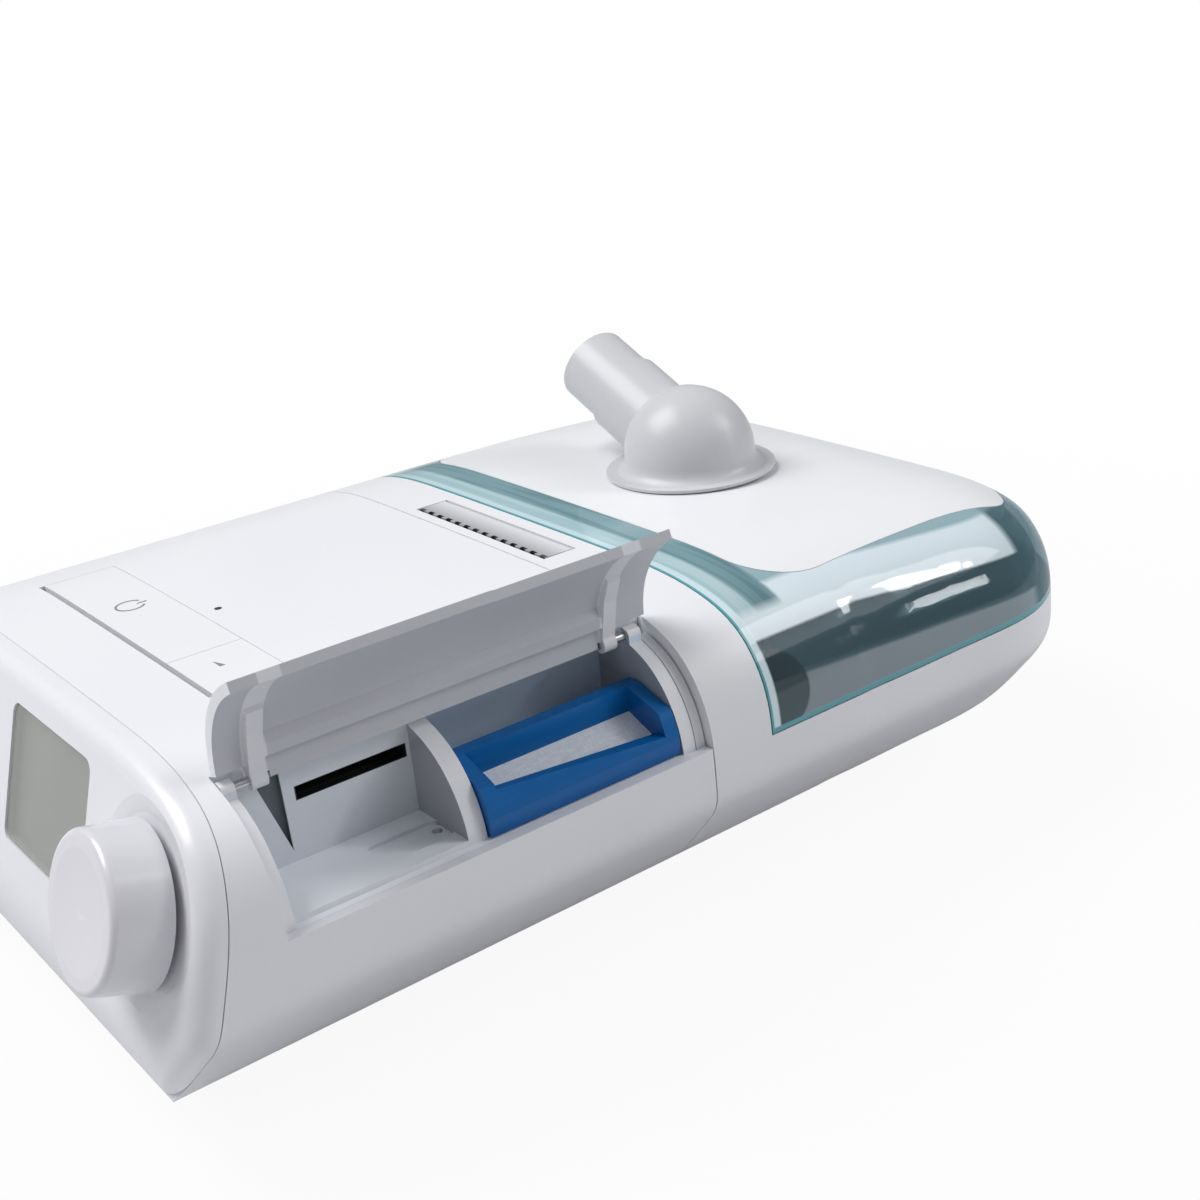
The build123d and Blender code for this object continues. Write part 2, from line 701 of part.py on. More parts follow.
# Blower housing: a scroll cup with a tangential outlet that runs to the port in the rear wall
duct_half = 12.0
duct_low_z, duct_high_z = port_z - 11.0, port_z + 11.0
duct_end_y = dock_seam_y - wall - 0.2
with BuildPart() as blower_housing:
    with Locations((blower_x, blower_y, blower_low_z)):
        Cylinder(blower_radius, blower_high_z - blower_low_z, align=standing)
    add(block(port_x - duct_half, port_x + duct_half, blower_y, duct_end_y, duct_low_z, duct_high_z))
    with Locations((blower_x, blower_y, blower_low_z + blower_wall)):
        Cylinder(blower_radius - blower_wall, blower_high_z, align=standing, mode=Mode.SUBTRACT)
    add(
        block(
            port_x - duct_half + blower_wall,
            port_x + duct_half - blower_wall,
            blower_y,
            duct_end_y - blower_wall,
            duct_low_z + blower_wall,
            duct_high_z - blower_wall,
        ),
        mode=Mode.SUBTRACT,
    )
    duct_mouth = (port_x, duct_end_y - 2 * blower_wall, port_z), (port_x, duct_end_y + 1, port_z)
    add(rod(port_radius, *duct_mouth), mode=Mode.SUBTRACT)
    with Locations((blower_x, blower_y, 0)):
        Cylinder(motor_radius + 0.05, 20, align=standing, mode=Mode.SUBTRACT)
finish(blower_housing.part, "blower_housing")

# Blower motor: a flanged can on the cup's floor, bored for the rotor shaft
flange_z = blower_low_z + blower_wall
with BuildPart() as blower_motor:
    with Locations((blower_x, blower_y, case_floor + plate_thickness + 0.2)):
        Cylinder(motor_radius, flange_z + 8 - case_floor - plate_thickness - 0.2, align=standing)
    with Locations((blower_x, blower_y, flange_z + 0.05)):
        Cylinder(motor_radius + 3, 1.5, align=standing)
    with Locations((blower_x, blower_y, 6)):
        Cylinder(shaft_radius + running, 40, align=standing, mode=Mode.SUBTRACT)
    top_circles = blower_motor.edges().filter_by(GeomType.CIRCLE).group_by(Axis.Z)[-1]
    fillet(top_circles.sort_by(SortBy.RADIUS)[-1], radius=1.5)
finish(blower_motor.part, "blower_motor")

# Rotor shaft
with BuildPart() as rotor_shaft:
    with Locations((blower_x, blower_y, 6.3)):
        Cylinder(shaft_radius, 26.0, align=standing)
finish(rotor_shaft.part, "rotor_shaft")

# Impeller: a backplate and hub with backward-swept blades that lose height towards the rim
backplate_z = 20.2
hub_radius = 5.0
blade_thickness = 1.2
blade_sweep = 40.0
blade_high_z, blade_rim_z = 33.5, 29.5
tip_radius = impeller_radius - 0.5
middle_radius = (hub_radius + 4 + tip_radius) / 2
tip_turn = radians(blade_sweep)
middle_turn = 0.36 * tip_turn
with BuildSketch() as blade:
    with BuildLine():
        inner_edge = ThreePointArc(
            (hub_radius + 4, 0),
            (middle_radius * cos(middle_turn), middle_radius * sin(middle_turn)),
            (tip_radius * cos(tip_turn), tip_radius * sin(tip_turn)),
        )
        offset(inner_edge, amount=blade_thickness, side=Side.LEFT, closed=True)
    make_face()
blade_outline = blade.sketch
with BuildPart() as impeller:
    with Locations((blower_x, blower_y, backplate_z)):
        Cylinder(impeller_radius, 1.5, align=standing)
        Cylinder(hub_radius, 11.5, align=standing)
    with BuildSketch(Plane.XY.offset(backplate_z + 1)):
        for n in range(blade_count):
            add(blade_outline.rotate(Axis.Z, 360 * n / blade_count).translate((blower_x, blower_y, 0)))
    extrude(amount=blade_high_z - backplate_z - 1)
    with BuildSketch(Plane.XZ.offset(-blower_y)):
        Polygon(
            (blower_x + 14, blade_high_z),
            (blower_x + impeller_radius + 1, blade_rim_z),
            (blower_x + impeller_radius + 1, blade_high_z + 1),
            (blower_x + 14, blade_high_z + 1),
            align=None,
        )
    revolve(axis=Axis((blower_x, blower_y, 0), (0, 0, 1)), mode=Mode.SUBTRACT)
    with Locations((blower_x, blower_y, backplate_z - 1)):
        Cylinder(shaft_radius, 20, align=standing, mode=Mode.SUBTRACT)
finish(impeller.part, "impeller")

# Blower cover: the lid of the scroll, with the raised inlet collar
collar_height = 6.0
with BuildPart() as blower_cover:
    with Locations((blower_x, blower_y, blower_high_z + 0.05)):
        Cylinder(blower_radius, blower_wall, align=standing)
        Cylinder(inlet_radius + 2.5, blower_wall + collar_height, align=standing)
        Cylinder(inlet_radius, 20, align=standing, mode=Mode.SUBTRACT)
finish(blower_cover.part, "blower_cover")

# Intake muffler: a foam block over the blower's inlet that quiets the incoming air
muffler_low_z = blower_high_z + 0.05 + blower_wall + collar_height + 0.2
muffler_high_z = height - 26.0
with BuildPart() as intake_muffler:
    add(block(-45, 58, -92, -34, muffler_low_z, muffler_high_z))
    fillet(intake_muffler.edges().filter_by(Axis.Z), radius=6)
    with Locations((blower_x, blower_y, 0)):
        Cylinder(inlet_radius, muffler_low_z + 6, align=standing, mode=Mode.SUBTRACT)
    channel_y = blower_y - 9, blower_y + 9
    add(block(blower_x, 59, *channel_y, muffler_low_z + 2, muffler_low_z + 8), mode=Mode.SUBTRACT)
finish(intake_muffler.part, "intake_muffler")

# Main board: the populated circuit board on top of the muffler
with BuildPart() as main_board:
    add(block(-60, 52, -94, -22, muffler_high_z + 0.3, muffler_high_z + 0.3 + board_thickness))
    chip_z = muffler_high_z + 0.3 + board_thickness
    for x, y, length, width, tall in (
        (-40, -60, 14, 14, 1.6),
        (-10, -45, 18, 8, 6),
        (20, -60, 10, 10, 1.4),
        (-48, -34, 20, 9, 7),
        (36, -35, 12, 16, 5),
    ):
        with Locations((x, y, chip_z)):
            Box(length, width, tall, align=standing)
    for x in (-30, -18, -6):
        with Locations((x, -84, chip_z)):
            Cylinder(4, 8, align=standing)
finish(main_board.part, "main_board")

# Power inlet: the barrel jack in the plain side
with BuildPart() as power_inlet:
    face_x = -half_width + 0.4
    body_y = jack_y - jack_half, jack_y + jack_half
    body_z = widest_z - jack_half, widest_z + jack_half
    barrel = (face_x - 1, jack_y, widest_z), (face_x + jack_depth, jack_y, widest_z)
    centre_pin = (face_x + 1.5, jack_y, widest_z), (face_x + jack_depth + 1, jack_y, widest_z)
    add(rod(jack_radius, (face_x, jack_y, widest_z), (face_x + 2 * wall, jack_y, widest_z)))
    add(block(face_x + wall + 1.8, face_x + jack_depth + 4, *body_y, *body_z))
    add(rod(jack_bore_radius, *barrel), mode=Mode.SUBTRACT)
    add(rod(jack_pin_radius, *centre_pin))
finish(power_inlet.part, "power_inlet")

# Outlet seal: the rubber sleeve that joins the blower's outlet to the humidifier
seal_rear_y = dock_seam_y + dock_gap + wall + 2.0
with BuildPart() as outlet_seal:
    add(rod(port_radius + 2, (port_x, duct_end_y + 0.2, port_z), (port_x, seal_rear_y, port_z)))
    sleeve_bore = (port_x, duct_end_y - 1, port_z), (port_x, seal_rear_y + 1, port_z)
    add(rod(port_radius, *sleeve_bore), mode=Mode.SUBTRACT)
finish(outlet_seal.part, "outlet_seal")

# Humidifier forms, at each depth where one of its skins begins or ends
dock_front_y = dock_seam_y + dock_gap
shell = humidifier_form()
shell_inner = humidifier_form(wall, dock_front_y + wall)
canopy_inner = humidifier_form(canopy_thickness, collar_rear_y)
cover_inner = humidifier_form(cover_thickness, collar_rear_y)
cover_seat = humidifier_form(cover_thickness + 0.05, collar_rear_y)
ledge_inner = humidifier_form(cover_thickness + 1.6, collar_rear_y)
tank_form = humidifier_form(tank_inset, tank_front_y)
tank_hollow = humidifier_form(tank_inset + tank_wall, tank_front_y + tank_wall)
behind = rear_y + 10
collar_wall = 2.6

# Base shell: the closed front collar and the open tub behind it, with the latch pocket and hinge lugs
base_lugs = (20.0, 28.0)
lid_lugs = (28.5, 36.5)
relief_radius = hinge_barrel_radius + 0.4
latch_gap = 0.8
cheek = 2.5
pocket_floor_z = latch_low_z - 0.6
with BuildPart() as base_shell:
    add(shell)
    add(shell_inner, mode=Mode.SUBTRACT)
    rear_wall = block(-beyond, beyond, collar_rear_y - collar_wall, collar_rear_y, 0, height + 1)
    add(shell & rear_wall)
    add(block(-beyond, beyond, collar_rear_y, behind, lid_seam_z, height + 1), mode=Mode.SUBTRACT)
    pocket_half = latch_half_width + 0.5
    add(
        block(
            -pocket_half - cheek,
            pocket_half + cheek,
            dock_front_y + 1,
            collar_rear_y - 1,
            pocket_floor_z - 2,
            height - 1,
        )
    )
    add(
        block(
            -pocket_half,
            pocket_half,
            latch_front_y - latch_gap,
            latch_rear_y + latch_gap + 0.2,
            pocket_floor_z,
            height + 1,
        ),
        mode=Mode.SUBTRACT,
    )
    for side in (-1, 1):
        pin_hole = [(side * x, latch_pivot_y, latch_pivot_z) for x in (latch_pin_x, pocket_half + 2)]
        add(rod(latch_pin_radius, *pin_hole), mode=Mode.SUBTRACT)
    add(plug_hole, mode=Mode.SUBTRACT)
    add(
        rod(port_radius + 2.2, (port_x, dock_front_y - 1, port_z), (port_x, 0, port_z)),
        mode=Mode.SUBTRACT,
    )
    add(
        rod(boot_radius + 0.1, (boot_x, 0, boot_z), (boot_x, collar_rear_y + 1, boot_z)),
        mode=Mode.SUBTRACT,
    )
    for side in (-1, 1):
        lug = [(side * x, hinge_y, hinge_z) for x in base_lugs]
        space = [(side * x, hinge_y, hinge_z) for x in (lid_lugs[0] - fit, lid_lugs[1] + fit)]
        pin = [(side * x, hinge_y, hinge_z) for x in (base_lugs[0], lid_lugs[1])]
        add(rod(hinge_barrel_radius, *lug))
        add(rod(relief_radius, *space), mode=Mode.SUBTRACT)
        add(rod(hinge_pin_radius, *pin), mode=Mode.SUBTRACT)
finish(base_shell.part, "base_shell")

# Feet of the humidifier
humidifier_feet_spots = [(-28, 18), (28, 18), (-28, 80), (28, 80)]
with BuildPart() as humidifier_feet:
    for x, y in humidifier_feet_spots:
        with Locations((x, y, 0)):
            Cylinder(foot_radius, foot_height - 0.1, align=standing)
    fillet(humidifier_feet.edges().group_by(Axis.Z)[0], radius=0.6)
finish(humidifier_feet.part, "humidifier_feet")

# Dock connector: the plug that carries power and data across the seam
with BuildPart() as dock_connector:
    add(block(*plug_x, plug_y[0] + 1, plug_y[1] - 0.6, *plug_z))
    collar_x = plug_x[0] - 2, plug_x[1] + 2
    collar_z = plug_z[0] - 2, plug_z[1] + 2
    add(block(*collar_x, plug_y[0], dock_seam_y - wall - 0.1, *collar_z))
finish(dock_connector.part, "dock_connector")

# Air manifold: the slanted channel inside the collar, from the dock port up to the tank's inlet
channel_half = 12.0
channel_front_y = dock_front_y + wall + 0.1
channel_rear_y = collar_rear_y - collar_wall - 0.1
channel_wall = 1.8
run_x, run_z = boot_x - port_x, boot_z - port_z
run_length, run_angle = sqrt(run_x ** 2 + run_z ** 2), degrees(atan2(run_z, run_x))
run_middle = ((boot_x + port_x) / 2, (boot_z + port_z) / 2)
with BuildPart() as air_manifold:
    with BuildSketch(Plane.XZ.offset(-channel_front_y)):
        with Locations(run_middle):
            SlotCenterToCenter(run_length, 2 * channel_half, rotation=run_angle)
    extrude(amount=channel_front_y - channel_rear_y)
    with BuildSketch(Plane.XZ.offset(-channel_front_y - channel_wall)):
        with Locations(run_middle):
            SlotCenterToCenter(run_length, 2 * (channel_half - channel_wall), rotation=run_angle)
    extrude(amount=channel_front_y - channel_rear_y + 2 * channel_wall, mode=Mode.SUBTRACT)
    sleeve_hole = (port_x, channel_front_y - 1, port_z), (port_x, 0, port_z)
    boot_hole = (boot_x, 0, boot_z), (boot_x, channel_rear_y + 1, boot_z)
    add(rod(port_radius + 2.2, *sleeve_hole), mode=Mode.SUBTRACT)
    add(rod(boot_radius + 0.1, *boot_hole), mode=Mode.SUBTRACT)
finish(air_manifold.part, "air_manifold")

# Tank inlet boot: the dark rubber ring between the manifold and the tank
boot_start_y = channel_rear_y - channel_wall
with BuildPart() as tank_inlet_boot:
    add(rod(boot_radius, (boot_x, boot_start_y, boot_z), (boot_x, tank_front_y - 2.2, boot_z)))
    add(
        rod(boot_radius - 2.5, (boot_x, boot_start_y - 1, boot_z), (boot_x, tank_front_y, boot_z)),
        mode=Mode.SUBTRACT,
    )
    lip = tank_inlet_boot.faces().sort_by(Axis.Y)[-1].outer_wire().edges()
    fillet(lip, radius=1.2)
finish(tank_inlet_boot.part, "tank_inlet_boot")

# Heater carrier: the frame on the shell's floor that holds the heater plate
heater_x, heater_front_y, heater_rear_y = 42.0, 30.0, 94.0
carrier_inset, carrier_wall = 4.0, 4.0
with BuildPart() as heater_carrier:
    with BuildSketch(Plane.XY.offset(case_floor + wall + 0.05)):
        with Locations((0, (heater_front_y + heater_rear_y) / 2)):
            outside = 2 * (heater_x - carrier_inset), heater_rear_y - heater_front_y - 2 * carrier_inset
            Rectangle(*outside)
            Rectangle(*[size - 2 * carrier_wall for size in outside], mode=Mode.SUBTRACT)
    extrude(amount=heater_z - case_floor - wall - 0.1)
finish(heater_carrier.part, "heater_carrier")

# Heater plate: the metal plate that the tank stands on
with BuildPart() as heater_plate:
    add(block(-heater_x, heater_x, heater_front_y, heater_rear_y, heater_z, heater_z + heater_thickness))
    fillet(heater_plate.edges().filter_by(Axis.Z), radius=8)
finish(heater_plate.part, "heater_plate")

# Tank tub: the clear water vessel that stands on the heater plate
tank_low_z = heater_z + heater_thickness + 0.1
seal_low_z = tank_split_z - 0.5
base_plate_inset, base_plate_thickness = 6.0, 1.6
with BuildPart() as tank_tub:
    add(tank_form & block(-beyond, beyond, tank_front_y, behind, tank_low_z, seal_low_z))
    tub_hollow = block(-beyond, beyond, tank_front_y, behind, tank_low_z + tank_wall, height)
    add(tank_hollow & tub_hollow, mode=Mode.SUBTRACT)
    plate_hole_y = heater_front_y + base_plate_inset, heater_rear_y - base_plate_inset
    plate_hole_x = heater_x - base_plate_inset
    add(block(-plate_hole_x, plate_hole_x, *plate_hole_y, 0, 2 * heater_z), mode=Mode.SUBTRACT)
finish(tank_tub.part, "tank_tub")

# Tank base plate: the metal window in the tub's floor that takes the heater's warmth
with BuildPart() as tank_base_plate:
    with BuildSketch(Plane.XY.offset(tank_low_z)):
        with Locations((0, (heater_front_y + heater_rear_y) / 2)):
            Rectangle(
                2 * (heater_x - base_plate_inset - running),
                heater_rear_y - heater_front_y - 2 * (base_plate_inset + running),
            )
    extrude(amount=base_plate_thickness)
finish(tank_base_plate.part, "tank_base_plate")

# Tank seal: the flat gasket between the tub and its lid
with BuildPart() as tank_seal:
    band = block(-beyond, beyond, tank_front_y, behind, seal_low_z + 0.02, seal_low_z + 0.98)
    add(tank_form & band)
    add(tank_hollow, mode=Mode.SUBTRACT)
finish(tank_seal.part, "tank_seal")

# Tank lid: the clear top with the inlet flange in front and the outlet ring above
flange_radius = boot_radius
with BuildPart() as tank_lid:
    add(tank_form & block(-beyond, beyond, tank_front_y, behind, seal_low_z + 1, tank_top_z))
    lid_hollow = block(-beyond, beyond, tank_front_y, behind, 0, tank_top_z - tank_wall)
    add(tank_hollow & lid_hollow, mode=Mode.SUBTRACT)
    with Locations((elbow_x, elbow_y, tank_top_z - tank_wall / 2)):
        Cylinder(spigot_radius + 2, 2.4, align=standing)
    with Locations((elbow_x, elbow_y, tank_top_z - 5)):
        Cylinder(outlet_radius, 12, align=standing, mode=Mode.SUBTRACT)
    add(rod(flange_radius, (boot_x, tank_front_y - 2, boot_z), (boot_x, tank_front_y - 0.2, boot_z)))
    add(
        rod(flange_radius, (boot_x, tank_front_y - 1, boot_z), (boot_x, tank_front_y + 1, boot_z))
        & block(-beyond, beyond, 0, behind, seal_low_z + 1.4, height)
    )
    add(
        rod(5.5, (boot_x, 0, boot_z + 4), (boot_x, tank_front_y + 5, boot_z + 4)),
        mode=Mode.SUBTRACT,
    )
finish(tank_lid.part, "tank_lid")

# Outlet gasket: the ring between the tank and the elbow's spigot
gasket_low_z = tank_top_z - tank_wall / 2 + 2.45
with BuildPart() as outlet_gasket:
    with Locations((elbow_x, elbow_y, gasket_low_z)):
        Cylinder(spigot_radius, 2.0, align=standing)
        Cylinder(outlet_radius, 2.0, align=standing, mode=Mode.SUBTRACT)
finish(outlet_gasket.part, "outlet_gasket")


def cover_outline(margin=0.0):
    """Plan of the lid's white cover: a rounded front, long sides, and a tongue down the tail."""
    half = [
        (cover_half_width + 3, cover_front_y),
        (cover_half_width, cover_side_start_y),
        (cover_half_width, cover_side_end_y),
        (cover_tail_half_width + 5, cover_tail_y),
        (cover_tail_half_width, behind),
    ]
    with BuildSketch() as outline:
        with BuildLine():
            Polyline(*half, *[(-x, y) for x, y in reversed(half)], close=True)
        make_face()
        rows = outline.vertices().group_by(Axis.Y)
        fillet(rows[0], radius=cover_corner_radius)
        rows = outline.vertices().group_by(Axis.Y)
        fillet(rows[-4], radius=cover_side_sweep)
        rows = outline.vertices().group_by(Axis.Y)
        fillet(rows[-3], radius=cover_side_bend)
        rows = outline.vertices().group_by(Axis.Y)
        fillet(rows[-2], radius=cover_tail_bend)
        if margin:
            offset(amount=margin)
    return outline.sketch


def cover_prism(margin=0.0):
    """The cover's plan, standing over the lid."""
    with BuildPart() as prism:
        with BuildSketch(Plane.XY.offset(lid_seam_z)):
            add(cover_outline(margin))
        extrude(amount=height - lid_seam_z + 5)
    return prism.part


# Lid canopy: the tinted skin over the tank, with the ledge that carries the white cover
lid_low_z = lid_seam_z + lid_gap
lid_front_y = collar_rear_y + lid_gap
cover_gap = 0.25
ledge_width = 4.0
wide_prism = cover_prism(cover_gap)
lid_space = block(-beyond, beyond, lid_front_y, behind, lid_low_z, height + 1)
ledge_band = cover_prism(cover_gap + 2) - cover_prism(-ledge_width)
ledge = (canopy_inner - ledge_inner) & lid_space & ledge_band
cover_step = (shell - cover_seat) & wide_prism
with BuildPart() as lid_canopy:
    add(shell & lid_space)
    add(canopy_inner, mode=Mode.SUBTRACT)
    add(ledge)
    add(cover_step, mode=Mode.SUBTRACT)
finish(lid_canopy.part, "lid_canopy")

# Lid cover: the white shell of the lid, with the elbow's hole and its half of the hinge
collar_radius = spigot_radius + 1.5
with BuildPart() as lid_cover:
    add(shell & lid_space & cover_prism())
    add(cover_inner, mode=Mode.SUBTRACT)
    with Locations((elbow_x, elbow_y, lid_low_z)):
        Cylinder(collar_radius + 0.1, height, align=standing, mode=Mode.SUBTRACT)
    for side in (-1, 1):
        lug = [(side * x, hinge_y, hinge_z) for x in lid_lugs]
        space = [(side * x, hinge_y, hinge_z) for x in (base_lugs[0] - fit, base_lugs[1] + fit)]
        pin = [(side * x, hinge_y, hinge_z) for x in (base_lugs[0], lid_lugs[1] + 0.5)]
        add(rod(hinge_barrel_radius, *lug))
        add(rod(relief_radius, *space), mode=Mode.SUBTRACT)
        add(rod(hinge_pin_radius + 0.06, *pin), mode=Mode.SUBTRACT)
finish(lid_cover.part, "lid_cover")

# Outlet collar: the bearing ring in the lid in which the elbow turns
with BuildPart() as outlet_collar:
    with Locations((elbow_x, elbow_y, tank_top_z + 4.0)):
        Cylinder(collar_radius + 3, 4.6, align=standing)
        Cylinder(collar_radius, 8.4, align=standing)
        Cylinder(spigot_radius + running, 12, align=standing, mode=Mode.SUBTRACT)
finish(outlet_collar.part, "outlet_collar")

# Lid hinge pins: one through each pair of lugs
with BuildPart() as lid_hinge_pins:
    for side in (-1, 1):
        pin = [(side * x, hinge_y, hinge_z) for x in (base_lugs[0], lid_lugs[1])]
        add(rod(hinge_pin_radius, *pin))
finish(lid_hinge_pins.part, "lid_hinge_pins")

# Outlet elbow: a flared foot, a round knuckle and the tube that takes the hose
elbow_low_z = height + 0.3
centre_z = elbow_low_z + elbow_centre_rise
spigot_low_z = gasket_low_z + 2.1
tube_line = Vector(-cos(radians(outlet_tilt)), 0, sin(radians(outlet_tilt)))
centre = Vector(elbow_x, elbow_y, centre_z)
shoulder, tube_end = centre + tube_line * elbow_shoulder, centre + tube_line * outlet_reach
shoulder_cut = rod(elbow_radius + 1, shoulder, tube_end)
above_rim = block(-beyond, beyond, -beyond, beyond, elbow_low_z + flange_rim_height, 2 * height)
knuckle = (Pos(*centre) * Sphere(elbow_radius, mode=Mode.PRIVATE) & above_rim) - shoulder_cut
with BuildPart() as outlet_elbow:
    with BuildSketch(Plane(origin=(elbow_x, elbow_y, 0), x_dir=(1, 0, 0), z_dir=(0, -1, 0))):
        with BuildLine():
            Polyline(
                (elbow_radius, centre_z),
                (0, centre_z),
                (0, spigot_low_z),
                (spigot_radius, spigot_low_z),
                (spigot_radius, elbow_low_z),
                (flange_rim_radius, elbow_low_z),
                (flange_rim_radius, elbow_low_z + flange_rim_height),
                (flare_radius, elbow_low_z + flange_rim_height),
            )
            Spline(
                (flare_radius, elbow_low_z + flange_rim_height),
                (elbow_radius, centre_z),
                tangents=[(-1, 0.5), (0, 1)],
            )
        make_face()
    revolve(axis=Axis((elbow_x, elbow_y, 0), (0, 0, 1)))
    add(knuckle)
    add(rod(outlet_root_radius, centre, centre + tube_line * (outlet_reach - 16)) & above_rim)
    add(rod(outlet_radius, centre, tube_end) & above_rim)
    add(rod(outlet_bore, centre, centre + tube_line * (outlet_reach + 1)), mode=Mode.SUBTRACT)
    add(rod(outlet_radius, (elbow_x, elbow_y, spigot_low_z - 1), centre), mode=Mode.SUBTRACT)
    with Locations(centre):
        Sphere(outlet_radius, mode=Mode.SUBTRACT)
finish(outlet_elbow.part, "outlet_elbow")

# Lid latch: the long bar in the collar, on two short pins
with BuildPart() as lid_latch:
    bar_y = latch_front_y, latch_rear_y
    add(shell & block(-latch_half_width, latch_half_width, *bar_y, latch_low_z, height + 1))
    for n in range(latch_notches):
        notch_x = (n - (latch_notches - 1) / 2) * latch_notch_pitch
        add(
            block(
                notch_x - latch_notch / 2,
                notch_x + latch_notch / 2,
                latch_front_y - 1,
                latch_front_y + 0.9,
                latch_low_z + 2,
                height + 1,
            ),
            mode=Mode.SUBTRACT,
        )
    for side in (-1, 1):
        bore = [(side * x, latch_pivot_y, latch_pivot_z) for x in (latch_pin_x, beyond)]
        add(rod(latch_pin_radius + running, *bore), mode=Mode.SUBTRACT)
finish(lid_latch.part, "lid_latch")

# Latch pins: one at each end, from the collar's cheek into the bar
with BuildPart() as latch_pins:
    for side in (-1, 1):
        pin_x = latch_pin_x + 0.2, pocket_half + 1.9
        add(rod(latch_pin_radius, *[(side * x, latch_pivot_y, latch_pivot_z) for x in pin_x]))
finish(latch_pins.part, "latch_pins")
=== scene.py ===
# %% [markdown]
# A bedside breathing machine with its heated humidifier docked behind it, dressed for a studio picture.
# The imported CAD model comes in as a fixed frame: every piece is already in its place, in metres. This
# file adds the camera, the light, a procedural finish for each piece, and the small pieces that are too
# fine for the CAD model, such as the printed marks on the keys.

import math

import bmesh
import bpy
from mathutils import Matrix, Vector


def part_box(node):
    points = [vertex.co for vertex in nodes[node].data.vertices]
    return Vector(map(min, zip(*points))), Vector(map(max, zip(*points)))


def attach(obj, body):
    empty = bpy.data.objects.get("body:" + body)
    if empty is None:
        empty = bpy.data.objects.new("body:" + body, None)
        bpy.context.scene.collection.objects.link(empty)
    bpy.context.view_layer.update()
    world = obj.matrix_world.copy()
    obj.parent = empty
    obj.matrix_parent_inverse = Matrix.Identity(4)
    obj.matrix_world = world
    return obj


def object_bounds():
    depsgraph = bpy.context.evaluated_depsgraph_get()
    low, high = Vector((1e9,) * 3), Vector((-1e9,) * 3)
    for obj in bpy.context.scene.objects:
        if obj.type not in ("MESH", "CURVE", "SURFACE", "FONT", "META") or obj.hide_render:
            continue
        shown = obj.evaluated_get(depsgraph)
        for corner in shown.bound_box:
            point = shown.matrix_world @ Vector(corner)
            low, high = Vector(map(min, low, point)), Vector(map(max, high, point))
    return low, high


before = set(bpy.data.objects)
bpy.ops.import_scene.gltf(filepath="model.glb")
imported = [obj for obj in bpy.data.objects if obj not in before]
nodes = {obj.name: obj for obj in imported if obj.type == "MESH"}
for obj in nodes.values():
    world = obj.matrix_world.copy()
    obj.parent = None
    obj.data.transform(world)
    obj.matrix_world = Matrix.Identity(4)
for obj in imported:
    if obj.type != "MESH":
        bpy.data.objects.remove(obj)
cad_low, cad_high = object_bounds()
print("nodes", len(nodes), "box", [round(v, 4) for v in (cad_high - cad_low)])

# %% [markdown]
# The camera stands to the right of the machine, a little above it, and looks down along its long side.
# A picture taken by hand leans a little, so the camera is turned by yaw, pitch and roll rather than
# aimed at a point, and the lens shift stands for the picture having been trimmed.

# %% Camera
CAMERA_PLACE = Vector((0.3658, -0.2219, 0.2294))
CAMERA_YAW, CAMERA_PITCH, CAMERA_ROLL = (math.radians(a) for a in (51.76, -21.86, -4.63))
CAMERA_LENS = 51.1
CAMERA_SHIFT = (-0.0794, 0.0)
CAMERA_CLIP = (0.01, 20)


def aim(yaw, pitch, roll):
    """Rotation of a camera that looks along a heading, with a slope and a lean."""
    ahead = Vector((-math.sin(yaw) * math.cos(pitch), math.cos(yaw) * math.cos(pitch), math.sin(pitch)))
    side = ahead.cross(Vector((0, 0, 1))).normalized()
    above = side.cross(ahead)
    right = side * math.cos(roll) + above * math.sin(roll)
    up = above * math.cos(roll) - side * math.sin(roll)
    return Matrix((right, up, -ahead)).transposed()


camera_data = bpy.data.cameras.new("studio_camera")
camera = bpy.data.objects.new("studio_camera", camera_data)
bpy.context.scene.collection.objects.link(camera)
bpy.context.scene.camera = camera
camera.matrix_world = Matrix.Translation(CAMERA_PLACE) @ aim(CAMERA_YAW, CAMERA_PITCH, CAMERA_ROLL).to_4x4()
camera_data.lens = CAMERA_LENS
camera_data.shift_x, camera_data.shift_y = CAMERA_SHIFT
camera_data.clip_start, camera_data.clip_end = CAMERA_CLIP
print("camera at", [round(v, 3) for v in camera.location])

# %% [markdown]
# Materials are written as sums. A small class wraps a node's socket, and the usual operators on it add
# Math nodes, so that "0.3 + 0.1 * noise" reads like the sum that it is. Any other node comes from one
# method: it takes the node's type, its settings, and the values or links of its sockets. Drawing the
# same nodes by hand in the editor would work too, but a sum is easier to read and to change.

